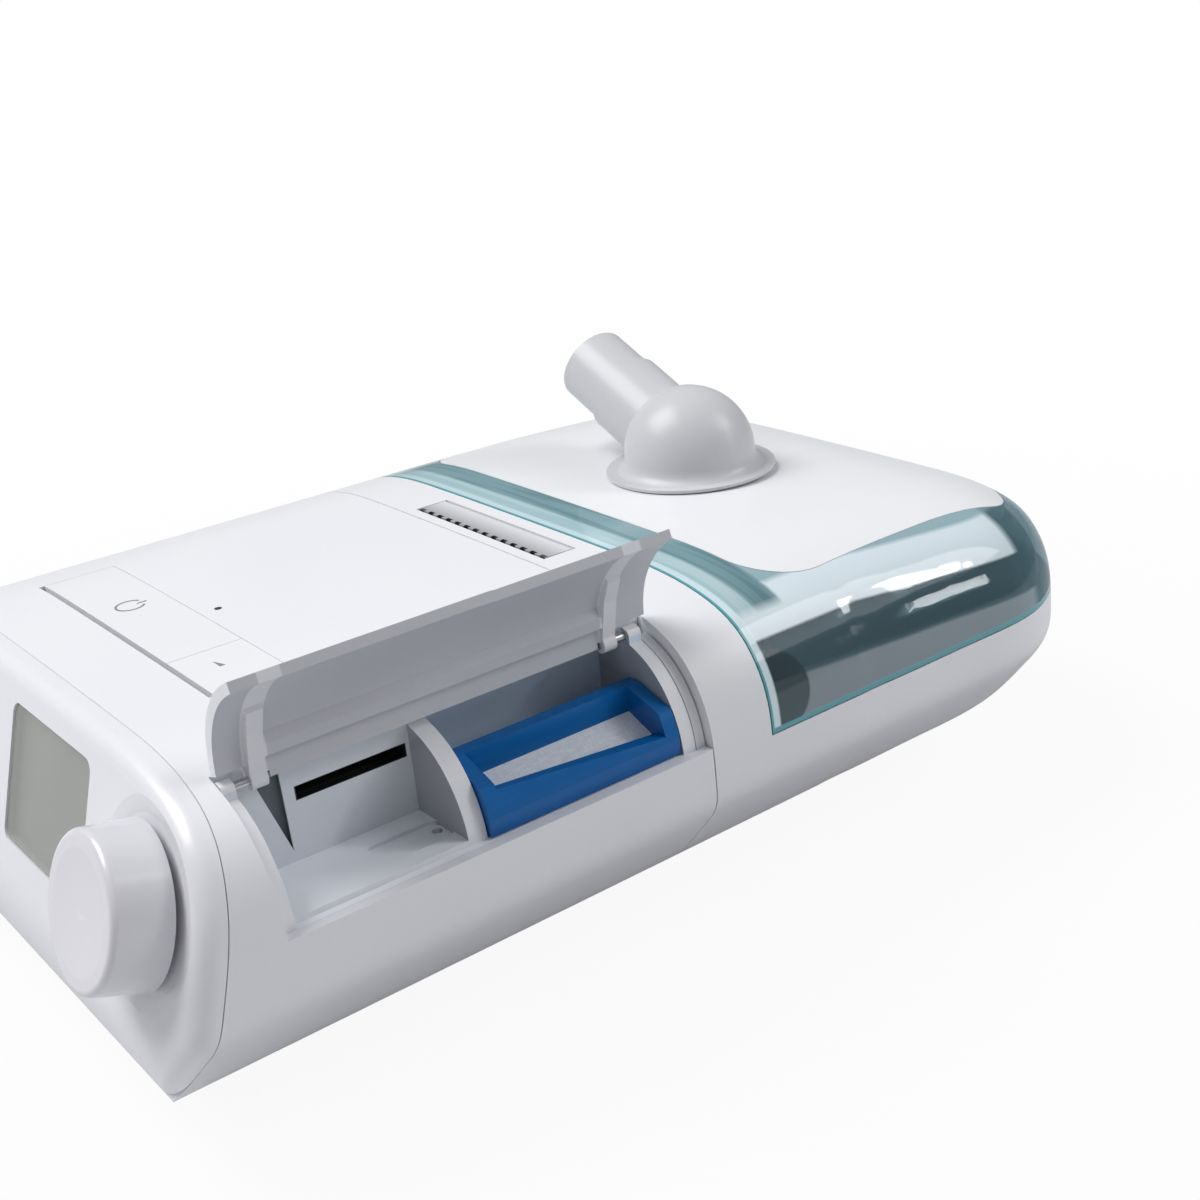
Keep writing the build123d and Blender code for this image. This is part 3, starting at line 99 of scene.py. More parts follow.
# %% Sockets that can be added and multiplied
class Wire:
    """A value that runs through a material's nodes."""

    def __init__(self, tree, socket):
        self.tree, self.socket = tree, socket

    def node(self, kind, out=0, **given):
        """Add a node. Settings go first, then sockets: s0, s1 by number, others by their name.

        Its result is the output of that number or name.
        """
        made = self.tree.nodes.new(kind)
        sockets = {}
        for key, value in given.items():
            if hasattr(made, key):
                setattr(made, key, value)
            else:
                sockets[key] = value
        for key, value in sockets.items():
            by_number = key[0] == "s" and key[1:].isdigit()
            self.feed(made.inputs[int(key[1:]) if by_number else key.replace("_", " ")], value)
        return Wire(self.tree, made.outputs[out])

    def feed(self, target, value):
        """Link or set one socket."""
        if isinstance(value, Wire):
            self.tree.links.new(value.socket, target)
        else:
            target.default_value = value

    def sum(self, operation, a, b=0.0):
        """A Math node."""
        return self.node("ShaderNodeMath", operation=operation, s0=a, s1=b)

    def __add__(self, other):
        return self.sum("ADD", self, other)

    def __radd__(self, other):
        return self.sum("ADD", other, self)

    def __sub__(self, other):
        return self.sum("SUBTRACT", self, other)

    def __rsub__(self, other):
        return self.sum("SUBTRACT", other, self)

    def __mul__(self, other):
        return self.sum("MULTIPLY", self, other)

    def __rmul__(self, other):
        return self.sum("MULTIPLY", other, self)

    def __truediv__(self, other):
        return self.sum("DIVIDE", self, other)

    def away(self):
        """The value without its sign."""
        return self.sum("ABSOLUTE", self)

    def fraction(self):
        """The part after the decimal point, which makes a sawtooth of a steady rise."""
        return self.sum("FRACT", self)

    def root(self):
        return self.sum("SQRT", self)

    def larger(self, other):
        return self.sum("MAXIMUM", self, other)

    def smaller(self, other):
        return self.sum("MINIMUM", self, other)

    def between(self, low, high):
        """0 below low, 1 above high and a straight run in between."""
        return self.node("ShaderNodeMapRange", clamp=True, s0=self, s1=low, s2=high, s3=0.0, s4=1.0)

    def above(self, level, soft):
        """0 below a level and 1 above it, with a soft edge this wide to each side."""
        return (self - level).between(-soft, soft)

    def below(self, level, soft):
        """1 below a level and 0 above it."""
        return (level - self).between(-soft, soft)

    def colours(self, first, second):
        """Mix two colours by this value. The Mix node has its colours at inputs 6 and 7, output 2."""
        return self.node(
            "ShaderNodeMix",
            out=2,
            data_type="RGBA",
            s0=self,
            s6=(*first, 1) if isinstance(first, tuple) else first,
            s7=(*second, 1) if isinstance(second, tuple) else second,
        )

    def split(self):
        """The X, Y and Z of a vector."""
        parts = self.node("ShaderNodeSeparateXYZ", s0=self).socket.node.outputs
        return [Wire(self.tree, part) for part in parts]


# %% [markdown]
# Every finish starts from the same place: a Principled shader, the object's own coordinates in metres,
# and one noise or two for the small unevenness that moulded plastic has. Coordinates in metres mean that
# a noise scale of 900 gives grains of about a millimetre, whatever the size of the piece.

# %% A new finish
def finish_base(name, **fixed):
    """A material with its Principled shader, set to plain numbers, and the place on the piece."""
    material = bpy.data.materials.new(name)
    material.use_nodes = True
    tree = material.node_tree
    shader = tree.nodes["Principled BSDF"]
    for key, value in fixed.items():
        socket = shader.inputs[key.replace("_", " ")]
        socket.default_value = (*value, 1) if isinstance(value, tuple) else value
    place = Wire(tree, None).node("ShaderNodeTexCoord", out="Object")
    return material, shader, place


def facing(place):
    """Which way the surface looks: three values from -1 to 1."""
    return place.node("ShaderNodeTexCoord", out="Normal").split()


def noise(place, scale, detail=3.0, rough=0.5):
    """Fractal noise with cells of about 1 / scale metres."""
    given = {"Vector": place, "Scale": scale, "Detail": detail, "Roughness": rough}
    return place.node("ShaderNodeTexNoise", **given)


def stretched(place, x, y, z):
    """The same place with each direction scaled, to draw a noise out into streaks."""
    return place.node("ShaderNodeMapping", s0=place, s3=(x, y, z))


def bump(place, height, strength, distance, under=None):
    """A Bump node for a height field in the finish."""
    given = {"Height": height, "Strength": strength, "Distance": distance}
    if under is not None:
        given["Normal"] = under
    return place.node("ShaderNodeBump", **given)


def put(shader, place, **links):
    """Link values to the shader's sockets."""
    for key, value in links.items():
        place.feed(shader.inputs[key.replace("_", " ")], value)


def tell(*materials):
    """Print the finishes that a cell has made, with the number of their nodes."""
    print("finishes", {m.name: len(m.node_tree.nodes) for m in materials})


# %% [markdown]
# The case is injection-moulded plastic in a cool white with a trace of lilac. The mould leaves a very fine
# spark texture and a slow waviness, which break up the highlights. The tone drifts a little over the
# surface, as thick and thin walls cool differently.

# %% Moulded plastic
DRIFT_SCALE, SPECK_SCALE, GRAIN_SCALE = 22, 900, 2600
GRAIN_DEPTH = 0.00003
GRAIN_ROUGHNESS = 0.08
CASE_TONES = (0.80, 0.805, 0.83), (0.775, 0.78, 0.81)
PLASTIC_IOR = 1.46


def uneven(place, drift_scale=DRIFT_SCALE):
    """The slow drift of tone, from 0 to 1, and the speckle that is in it."""
    speck = noise(place, SPECK_SCALE, 3.0)
    return (0.7 * noise(place, drift_scale, 2.0) + 0.3 * speck).between(0.30, 0.70), speck


def grained(place, strength):
    """The bump of the mould's spark texture."""
    return bump(place, noise(place, GRAIN_SCALE, 2.0, 0.6), strength, GRAIN_DEPTH)


def moulded(name, colour, other, rough=0.36, grain=0.10, coat=0.0):
    """Satin moulded plastic with fine grain and a slow drift of tone."""
    material, shader, place = finish_base(name, Coat_Weight=coat, Coat_Roughness=0.18, IOR=PLASTIC_IOR)
    tone, speck = uneven(place)
    skin = bump(place, noise(place, 60, 1.0), 0.05, 0.0004, grained(place, grain))
    put(
        shader,
        place,
        Base_Color=tone.colours(colour, other),
        Roughness=rough + GRAIN_ROUGHNESS * (speck - 0.5),
        Normal=skin,
    )
    return material


case_white = moulded("case_white", *CASE_TONES)
key_white = moulded("key_white", (0.81, 0.815, 0.84), (0.79, 0.795, 0.82), rough=0.30)
bezel_white = moulded("bezel_white", (0.80, 0.80, 0.835), (0.775, 0.775, 0.815), rough=0.30, coat=0.15)
dial_white = moulded("dial_white", (0.72, 0.715, 0.755), (0.695, 0.69, 0.735), rough=0.22, coat=0.30)
cover_white = moulded("cover_white", (0.82, 0.83, 0.85), (0.80, 0.81, 0.835), rough=0.32)
# The elbow is the same white plastic, set greyer all over: painted shade.
elbow_white = moulded("elbow_white", (0.60, 0.605, 0.625), (0.57, 0.575, 0.60), rough=0.34)
dark_plastic = moulded("dark_plastic", (0.025, 0.026, 0.029), (0.035, 0.036, 0.04), rough=0.45, grain=0.25)
tell(case_white, key_white, bezel_white, dial_white, cover_white, elbow_white, dark_plastic)

# %% [markdown]
# The liner under the door has one moulding and several tones. Its face by the card slot is pale, the
# filter bay is dim and bluish, and the rims that are cut from the case's own skin are white. Faces that
# look up get painted light, a paler colour. The faces that look at the front, in the shade of the door,
# get painted shade in grey, and the slot and the notch beside it are painted dark as painted shade in
# their hollows. Places are in metres on the piece, and directions come from the surface's own normal.

# %% Bay liner
DIVIDER_PLACE = -0.0665
CARD_RECESS_FRONT = -0.09
SLOT_MIDDLE, SLOT_HEIGHT = -0.0842, 0.0708
SLOT_HALF_LENGTH, SLOT_HALF_RISE = 0.0131, 0.00165
SLOT_DEPTH = 0.0722
NOTCH_DEPTH, NOTCH_REAR, NOTCH_FOOT = 0.0717, -0.0990, 0.0575
DIAGONAL = 0.707
HAIR = 0.0002
LINER_TONES = (0.70, 0.73, 0.78), (0.665, 0.695, 0.75)
BAY_TONES = (0.68, 0.79, 0.90), (0.63, 0.735, 0.845)
UPWARD_PAINTED_LIGHT, PAINTED_SHADE_GREY = (0.86, 0.885, 0.93), (0.30, 0.305, 0.33)
NOTCH_PAINTED_SHADE, SLOT_PAINTED_SHADE = (0.12, 0.15, 0.165), (0.012, 0.012, 0.014)


def bay_plastic():
    """The liner under the door."""
    material, shader, place = finish_base("bay_plastic", IOR=PLASTIC_IOR)
    deep, along, up = place.split()
    out_x, out_y, out_z = facing(place)
    tone, speck = uneven(place, 30)
    liner, bay = tone.colours(*LINER_TONES), tone.colours(*BAY_TONES)
    colour = along.above(DIVIDER_PLACE, 0.0005).colours(liner, bay)
    # Painted light: faces that look up are painted paler.
    painted_light_up = out_z.between(0.6, 0.9)
    colour = painted_light_up.colours(colour, UPWARD_PAINTED_LIGHT)
    # Painted shade: faces that look at the front, by the card recess, are painted grey.
    painted_door_shade = (0.0 - out_y).between(0.6, 0.9) * (along - CARD_RECESS_FRONT).between(0.0, 0.001)
    colour = (0.8 * painted_door_shade).colours(colour, PAINTED_SHADE_GREY)
    rims = (DIAGONAL * out_x + DIAGONAL * out_z).between(0.755, 0.80)
    colour = rims.colours(colour, CASE_TONES[0])
    # Painted shade: the notch is painted dark.
    painted_notch_shade = deep.below(NOTCH_DEPTH, HAIR) * (NOTCH_REAR - along).between(0.0, HAIR)
    painted_notch_shade = painted_notch_shade * (up - NOTCH_FOOT).between(0.0, 0.0003)
    colour = painted_notch_shade.colours(colour, NOTCH_PAINTED_SHADE)
    # Painted shade: the inside of the card slot is painted near black.
    slot = (SLOT_HALF_LENGTH - (along - SLOT_MIDDLE).away()).between(0.0, HAIR / 2)
    slot = slot * (SLOT_HALF_RISE - (up - SLOT_HEIGHT).away()).between(0.0, HAIR / 2)
    slot = slot * (SLOT_DEPTH - deep).between(0.0, HAIR / 2)
    colour = slot.colours(colour, SLOT_PAINTED_SHADE)
    put(
        shader,
        place,
        Base_Color=colour,
        Roughness=0.40 + GRAIN_ROUGHNESS * (speck - 0.5),
        Normal=grained(place, 0.18),
    )
    return material


bay_liner = bay_plastic()
tell(bay_liner)

# %% [markdown]
# The latch bar is pale at the back and greyer at the front: painted shade. The row of finger notches in
# its front edge is painted dark inside, as painted shade in the notches, which a sawtooth along the bar
# picks out.

# %% Latch
NOTCH_PITCH, NOTCH_HALF_WIDTH = 0.0044, 0.00118
NOTCH_ROW = -0.0026
LATCH_FRONT, LATCH_BACK = -0.0030, 0.0036


def latch_plastic():
    """Pale bar, greyer towards the front and dark in its finger notches: both painted shade."""
    material, shader, place = finish_base("latch_plastic", IOR=PLASTIC_IOR)
    side, along, _ = place.split()
    speck = noise(place, SPECK_SCALE, 3.0)
    # Painted shade: the bar is painted greyer towards its front.
    colour = along.between(LATCH_FRONT, LATCH_BACK).colours((0.36, 0.365, 0.385), (0.68, 0.685, 0.71))
    turns = side / NOTCH_PITCH
    from_middle = (turns.fraction() - 0.5).away()
    in_notch = (NOTCH_HALF_WIDTH / NOTCH_PITCH - from_middle).between(0.0, 0.01)
    # Painted shade: the walls of the finger notches are painted dark.
    dark = in_notch * along.below(NOTCH_ROW, 0.00005)
    put(
        shader,
        place,
        Base_Color=dark.colours(colour, (0.06, 0.06, 0.065)),
        Roughness=0.34 + GRAIN_ROUGHNESS * (speck - 0.5),
        Normal=grained(place, 0.10),
    )
    return material


latch_bar = latch_plastic()
tell(latch_bar)

# %% [markdown]
# The door is white outside, like the case that it is cut from. Its inner face is moulded with a coarser
# grain and painted grey as painted shade, since it looks down and away from the light. The two hinge
# arms stand off that face, catch more light, and stay nearly white, without that painted shade.

# %% Door
ARM_PLACES = (-0.10575, -0.01925)
ARM_HALF_WIDTH = 0.0022
INWARD = (0.94, -0.34)


def door_plastic():
    """White outside and grey inside, by which way the surface looks; the grey is painted shade."""
    material, shader, place = finish_base("door_plastic", IOR=PLASTIC_IOR)
    out_x, _, out_z = facing(place)
    # Painted shade: the inner face is painted grey, except on the hinge arms.
    inner = (INWARD[0] * out_x + INWARD[1] * out_z).between(0.15, 0.45)
    _, along, _ = place.split()
    front_arm, rear_arm = (ARM_HALF_WIDTH - (along - middle).away() for middle in ARM_PLACES)
    arms = front_arm.larger(rear_arm).between(-0.0004, 0.0)
    inner = inner * (1.0 - 0.75 * arms)
    tone, speck = uneven(place)
    white = tone.colours(*CASE_TONES)
    inner_shade_grey = tone.colours((0.54, 0.55, 0.585), (0.50, 0.51, 0.545))
    put(
        shader,
        place,
        Base_Color=inner.colours(white, inner_shade_grey),
        Roughness=0.34 + 0.14 * inner + GRAIN_ROUGHNESS * (speck - 0.5),
        Normal=grained(place, 0.12),
    )
    return material


door_skin = door_plastic()
tell(door_skin)

# %% [markdown]
# The filter tray is a deep, glossy blue moulding. It is a little paler towards its top, and faint rubbed
# streaks run along its length. Both only shift the colour a little, so that the blue stays one blue.

# %% Blue tray
TRAY_FOOT, TRAY_TOP = 0.056, 0.072


def blue_tray():
    """Glossy blue plastic with faint rubbed streaks."""
    material, shader, place = finish_base("blue_tray", Coat_Weight=0.12, Coat_Roughness=0.2, IOR=1.36)
    streak = noise(stretched(place, 500, 60, 500), 1.0, 2.0)
    rub = streak.between(0.52, 0.80)
    drift = noise(place, 60, 2.0)
    height = place.split()[2].between(TRAY_FOOT, TRAY_TOP)
    colour = drift.colours((0.001, 0.090, 0.31), (0.002, 0.118, 0.39))
    colour = (0.55 * height).colours(colour, (0.004, 0.17, 0.50))
    colour = (0.18 * rub).colours(colour, (0.02, 0.20, 0.46))
    skin = bump(place, noise(place, 1800, 2.0), 0.08, 0.00003)
    put(shader, place, Base_Color=colour, Roughness=0.28 + 0.10 * rub, Normal=skin)
    return material


tray_blue = blue_tray()
tell(tray_blue)

# %% [markdown]
# The filter media is a pad of pale, loosely bonded fibres. Two noises drawn out in different directions
# cross each other like fibres, and the bump is strong enough to catch the light from the side.

# %% Filter media
def fibre_pad():
    """Pale bonded fibre."""
    material, shader, place = finish_base("fibre_pad", Sheen_Weight=0.3, Sheen_Roughness=0.6)
    along = noise(stretched(place, 300, 2600, 800), 1.0, 4.0, 0.7)
    across = noise(stretched(place, 2600, 300, 800), 1.0, 4.0, 0.7)
    fibre = (along + across) * 0.5
    colour = fibre.between(0.35, 0.62).colours((0.66, 0.71, 0.78), (0.88, 0.91, 0.95))
    raised = bump(place, fibre, 0.7, 0.0005)
    put(shader, place, Base_Color=colour, Roughness=0.92 - 0.1 * fibre, Normal=raised)
    return material


filter_pad = fibre_pad()
tell(filter_pad)

# %% [markdown]
# Rubber is dark, dull and slightly dusty. Foam is the same idea with open cells, which a Voronoi
# texture gives better than noise does.

# %% Rubber and foam
def rubber(name, dark, dusty, rough=0.62):
    """Moulded rubber with a bloom of dust."""
    material, shader, place = finish_base(name, IOR=1.5)
    bloom = noise(place, 160, 4.0).between(0.42, 0.75)
    grit = noise(place, 1500, 2.0)
    put(
        shader,
        place,
        Base_Color=(0.5 * bloom).colours(dark, dusty),
        Roughness=rough + 0.14 * bloom,
        Normal=bump(place, grit, 0.14, 0.00005),
    )
    return material


def open_foam():
    """Open-cell foam."""
    material, shader, place = finish_base("open_foam")
    cells = place.node("ShaderNodeTexVoronoi", Vector=place, Scale=700.0)
    shade = cells.between(0.1, 0.55)
    put(
        shader,
        place,
        Base_Color=shade.colours((0.02, 0.02, 0.022), (0.12, 0.12, 0.125)),
        Roughness=0.95 - 0.05 * shade,
        Normal=bump(place, shade, 0.9, 0.0006),
    )
    return material


rubber_dark = rubber("rubber_dark", (0.012, 0.014, 0.017), (0.06, 0.065, 0.07), 0.42)
rubber_grey = rubber("rubber_grey", (0.16, 0.165, 0.175), (0.27, 0.275, 0.285))
muffler_foam = open_foam()
tell(rubber_dark, rubber_grey, muffler_foam)

# %% [markdown]
# Metal parts are turned or rolled, and either leaves fine lines one way. Stretching a noise fifty times
# along one axis draws those lines, and they go to the roughness as well as to the bump.

# %% Metal
def lined_metal(name, colour, other, stretch, rough=0.28):
    """Metal with fine lines left by the tool."""
    material, shader, place = finish_base(name, Metallic=1.0)
    lines = noise(stretched(place, *stretch), 1.0, 3.0, 0.6)
    stain = noise(place, 120, 3.0)
    put(
        shader,
        place,
        Base_Color=stain.between(0.3, 0.7).colours(colour, other),
        Roughness=rough + 0.18 * (lines - 0.5),
        Normal=bump(place, lines, 0.12, 0.00004),
    )
    return material


steel = lined_metal("steel", (0.56, 0.56, 0.58), (0.62, 0.62, 0.63), (3000, 60, 3000))
aluminium = lined_metal("aluminium", (0.70, 0.71, 0.73), (0.76, 0.77, 0.78), (80, 4000, 4000), 0.34)
tell(steel, aluminium)

# %% [markdown]
# Circuit boards are green with a faint weave of glass fibre under the varnish, and paler tracks. One
# set of wavy bands, thinned by a noise, reads as tracks from a step away.

# %% Circuit board
def circuit_board():
    """Green varnished board with faint tracks."""
    material, shader, place = finish_base("circuit_board", Coat_Weight=0.5, Coat_Roughness=0.2)
    weave = noise(stretched(place, 3000, 3000, 10), 1.0, 1.0)
    given = {"Vector": place, "Scale": 90.0, "Distortion": 4.0, "Detail": 1.0, "Detail_Scale": 1.0}
    lanes = place.node("ShaderNodeTexWave", **given)
    gate = noise(place, 70, 1.0).between(0.5, 0.56)
    track = lanes.between(0.80, 0.90) * gate
    base = weave.between(0.3, 0.7).colours((0.008, 0.075, 0.035), (0.012, 0.10, 0.05))
    put(
        shader,
        place,
        Base_Color=track.colours(base, (0.04, 0.22, 0.11)),
        Roughness=0.42 - 0.1 * track,
        Normal=bump(place, track, 0.25, 0.00006),
    )
    return material


board_green = circuit_board()
tell(board_green)

# %% [markdown]
# The tank and the display's lens are clear plastic. Clear plastic seen edge-on shows much more of its
# colour, so a Layer Weight thickens the tint at grazing angles through the factor of a mix of two
# shaders: one lets the light straight through, one is glossy.

# %% Clear plastics
CLEAR_IOR = 1.5
RIM_BLEND = 0.35


def surface(material, wire):
    """Make a shader the material's surface."""
    output = next(n for n in material.node_tree.nodes if n.type == "OUTPUT_MATERIAL")
    material.node_tree.links.new(wire.socket, output.inputs[0])


def see_through(material, place, shader, share, colour):
    """Mix a straight-through shader with the glossy one, by the glossy one's share."""
    through = place.node("ShaderNodeBsdfTransparent", Color=(*colour, 1))
    glossy = Wire(place.tree, shader.outputs[0])
    surface(material, place.node("ShaderNodeMixShader", s0=share, s1=through, s2=glossy))


def edge_on(place):
    """0 where the plastic is seen face-on and 1 where it is seen edge-on."""
    return place.node("ShaderNodeLayerWeight", out="Facing", Blend=RIM_BLEND)


def scuffs(place, *stretch):
    """Sparse fine streaks, 0 on clean plastic."""
    return noise(stretched(place, *stretch), 1.0, 2.0).between(0.62, 0.9)


def clear_plastic(name, face, edge, body_share, edge_share, rough, through):
    """Tinted clear plastic. The shares say how much of the light doesn't pass, face-on and edge-on."""
    material, shader, place = finish_base(name, IOR=CLEAR_IOR)
    cloud = noise(place, 30, 2.0)
    rim = edge_on(place)
    put(
        shader,
        place,
        Base_Color=rim.colours(face, edge),
        Roughness=rough + 0.10 * scuffs(place, 200, 1400, 1400),
        Normal=bump(place, cloud, 0.04, 0.0004),
    )
    share = body_share + (edge_share - body_share) * rim + 0.05 * (cloud - 0.5)
    see_through(material, place, shader, share, through)
    return material


tank_tone, lens_tone = (0.10, 0.15, 0.18), (0.80, 0.81, 0.78)
tank_clear = clear_plastic("tank_clear", tank_tone, (0.05, 0.10, 0.13), 0.62, 0.9, 0.08, (0.30, 0.38, 0.42))
lens_clear = clear_plastic("lens_clear", lens_tone, (0.55, 0.56, 0.55), 0.20, 0.5, 0.12, lens_tone)
tell(tank_clear, lens_clear)

# %% [markdown]
# The lid's window is one teal moulding, and most of what it shows is drawn in its finish. A pale zone is a
# painted reflection: it reaches from the shelf over the tank up to the white cover, follows the roof as it
# falls to the back, and lets less light through. Below it the plastic is smoked, with a grey band where the
# tank's floor shows, and the dark round of the inlet boot in front. A bright line runs along the cut edges
# with a pale lip beside it in front, and the narrow stretch of roof before the cover has streaks of deep
# and pale teal. Each zone is a mask from the place on the piece, and the masks lay one colour over the
# other.

# %% Lid window
SHELF_HEIGHT, SHELF_FALL = 0.0724, 0.0755
ROOF_START, ROOF_FALL = 0.045, 0.060
REFLECTION_REAR, BAND_REAR = 0.1035, 0.1075
BAND_HEIGHT, BAND_FALL, BAND_START = 0.0628, 0.055, 0.022
EDGE_RISE, EDGE_WIDTH, LIP_WIDTH = 0.0012, 0.0006, 0.0026
BOOT_PLACE, BOOT_HEIGHT, BOOT_RADIUS = 0.0135, 0.0605, 0.0098
ROOF_HEIGHT, COVER_HEIGHT = 0.0772, 0.0800
PALE_STRIP_END, COVER_FRONT = 0.0180, 0.0262
SMOKE_TONES = (0.085, 0.135, 0.165), (0.13, 0.185, 0.215)
BAND_GREY, BOOT_DARK, REFLECTION_PALE = (0.34, 0.37, 0.41), (0.022, 0.028, 0.034), (0.86, 0.93, 0.98)
LIP_PALE, EDGE_TEAL, RIM_TEAL = (0.70, 0.82, 0.86), (0.11, 0.36, 0.41), (0.10, 0.36, 0.42)
CLEAR_TEAL, ROOF_TEAL = (0.62, 0.76, 0.80), (0.36, 0.48, 0.52)


def roof_streaks(place, along):
    """The stretch of roof before the cover: pale teal, then deep teal, then plain."""
    lines = noise(stretched(place, 20, 420, 20), 1.0, 1.0).between(0.42, 0.58)
    deep_teal = lines.colours((0.12, 0.20, 0.225), (0.21, 0.315, 0.34))
    pale_teal = lines.colours((0.46, 0.60, 0.64), (0.56, 0.69, 0.72))
    colour = along.below(PALE_STRIP_END, 0.0006).colours(deep_teal, pale_teal)
    return along.above(COVER_FRONT, 0.0004).colours(colour, ROOF_TEAL)


def canopy_plastic():
    """Clear teal lid plastic: a painted reflection over the tank's shelf, smoked below, bright along its
    cut edges.
    """
    material, shader, place = finish_base("canopy_plastic", IOR=CLEAR_IOR)
    low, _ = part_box("lid_canopy")
    side, along, up = place.split()
    past_start = (along - ROOF_START).larger(0.0)
    shelf = SHELF_HEIGHT - SHELF_FALL * past_start
    # Painted reflection: a pale zone above the shelf line, up to the cover.
    painted_reflection = (up - shelf).between(-0.0003, 0.0003) * along.below(REFLECTION_REAR, 0.0015)
    band_top = BAND_HEIGHT - BAND_FALL * (along - BAND_START)
    bottom = (band_top - up).between(-0.0005, 0.0005) * along.below(BAND_REAR, 0.002)
    edge = up.below(low.z + EDGE_RISE, 0.0002).larger(along.below(low.y + EDGE_WIDTH, 0.0001))
    lip = along.below(low.y + LIP_WIDTH, 0.0003)
    boot_y, boot_z = along - BOOT_PLACE, up - BOOT_HEIGHT
    from_boot = (boot_y * boot_y + boot_z * boot_z).root()
    boot = 0.92 * from_boot.below(BOOT_RADIUS, 0.0004) * side.between(0.0, 0.001)
    roof = up.above(ROOF_HEIGHT, 0.0008) * along.below(COVER_FRONT, 0.0006)
    roof = roof.larger((up + ROOF_FALL * past_start).above(COVER_HEIGHT, 0.0003))
    rim = edge_on(place)
    streak = noise(stretched(place, 90, 12, 60), 1.0, 2.0)
    shade = streak.between(0.3, 0.7).colours(*SMOKE_TONES)
    shade = bottom.colours(shade, BAND_GREY)
    shade = boot.colours(shade, BOOT_DARK)
    shade = painted_reflection.colours(shade, REFLECTION_PALE)
    shade = roof.colours(shade, roof_streaks(place, along))
    shade = lip.colours(shade, LIP_PALE)
    shade = edge.colours(shade, EDGE_TEAL)
    shade = (0.5 * rim).colours(shade, RIM_TEAL)
    put(
        shader,
        place,
        Base_Color=shade,
        Roughness=0.05 + 0.10 * scuffs(place, 1400, 200, 1400),
        Normal=bump(place, noise(place, 30, 2.0), 0.03, 0.0004),
    )
    share = 0.40 + 0.30 * bottom + 0.40 * painted_reflection + 0.5 * edge + 0.4 * lip + 0.4 * boot + 0.3 * rim
    see_through(material, place, shader, share.smaller(1.0), CLEAR_TEAL)
    return material


teal_clear = canopy_plastic()
tell(teal_clear)

# %% [markdown]
# The display is off. Its reflective liquid-crystal glass is a warm grey, with a soft cloud in it and a
# very fine grid that only breaks up the shine.

# %% Display
def display_glass():
    """Switched-off liquid-crystal display."""
    material, shader, place = finish_base("display_glass", Coat_Weight=0.6, Coat_Roughness=0.15)
    cloud = noise(place, 45, 2.0)
    grid = noise(stretched(place, 2400, 1, 2400), 1.0, 1.0)
    colour = cloud.between(0.3, 0.7).colours((0.30, 0.30, 0.285), (0.36, 0.36, 0.345))
    raised = bump(place, grid, 0.05, 0.00003)
    put(shader, place, Base_Color=colour, Roughness=0.35 + 0.08 * grid, Normal=raised)
    return material


display_grey = display_glass()
tell(display_grey)

# %% [markdown]
# Each node gets one finish. Pieces that are moulded from one plastic share it, so the finish is made once
# and named for every node that has it.

# %% A finish for each node
FINISHES = {
    "upper_case": case_white, "bottom_plate": case_white, "case_screws": steel,
    "therapy_feet": rubber_grey, "front_panel": bezel_white, "lcd_lens": lens_clear,
    "lcd_module": display_grey, "dial_encoder": dark_plastic, "dial_shaft": steel,
    "control_dial": dial_white, "therapy_button": key_white, "ramp_button": key_white,
    "key_board": board_green, "bay_insert": bay_liner, "card_reader": dark_plastic,
    "side_door": door_skin, "door_hinge_pins": steel, "filter_frame": tray_blue,
    "filter_media": filter_pad, "blower_housing": dark_plastic, "blower_motor": aluminium,
    "rotor_shaft": steel, "impeller": dark_plastic, "blower_cover": dark_plastic,
    "intake_muffler": muffler_foam, "power_inlet": dark_plastic, "outlet_seal": rubber_grey,
    "base_shell": case_white, "humidifier_feet": rubber_grey, "dock_connector": dark_plastic,
    "air_manifold": cover_white, "tank_inlet_boot": rubber_dark, "heater_carrier": dark_plastic,
    "heater_plate": aluminium, "tank_tub": tank_clear, "tank_base_plate": steel,
    "tank_seal": rubber_grey, "tank_lid": tank_clear, "outlet_gasket": rubber_dark,
    "lid_canopy": teal_clear, "lid_cover": cover_white, "outlet_collar": cover_white,
    "lid_hinge_pins": steel, "outlet_elbow": elbow_white, "lid_latch": latch_bar,
    "latch_pins": steel, "main_board": board_green,
}
for name, material in FINISHES.items():
    for slot in nodes[name].material_slots:
        slot.material = material
bare = [n for n in nodes if n not in FINISHES]
print("finished nodes", len(FINISHES), "left bare", bare)

# %% [markdown]
# The marks on the keys are printed in grey ink. Each is a thin flat shape drawn in X and Y and dropped
# onto the surface below it, so it follows the crown of the key and rides with it. A picture of the mark
# would do the same on a flat key, but a thin shape keeps a sharp edge however near the camera comes.

# %% Printed marks
INK_LIFT, INK_THICKNESS = 0.00006, 0.00005
DROP_HEIGHT = 0.02


def ink():
    """Grey pad-printed ink, slightly uneven."""
    material, shader, place = finish_base("printed_ink", Roughness=0.55)
    cover = noise(place, 3000, 2.0)
    put(shader, place, Base_Color=cover.colours((0.20, 0.21, 0.23), (0.27, 0.28, 0.30)))
    return material


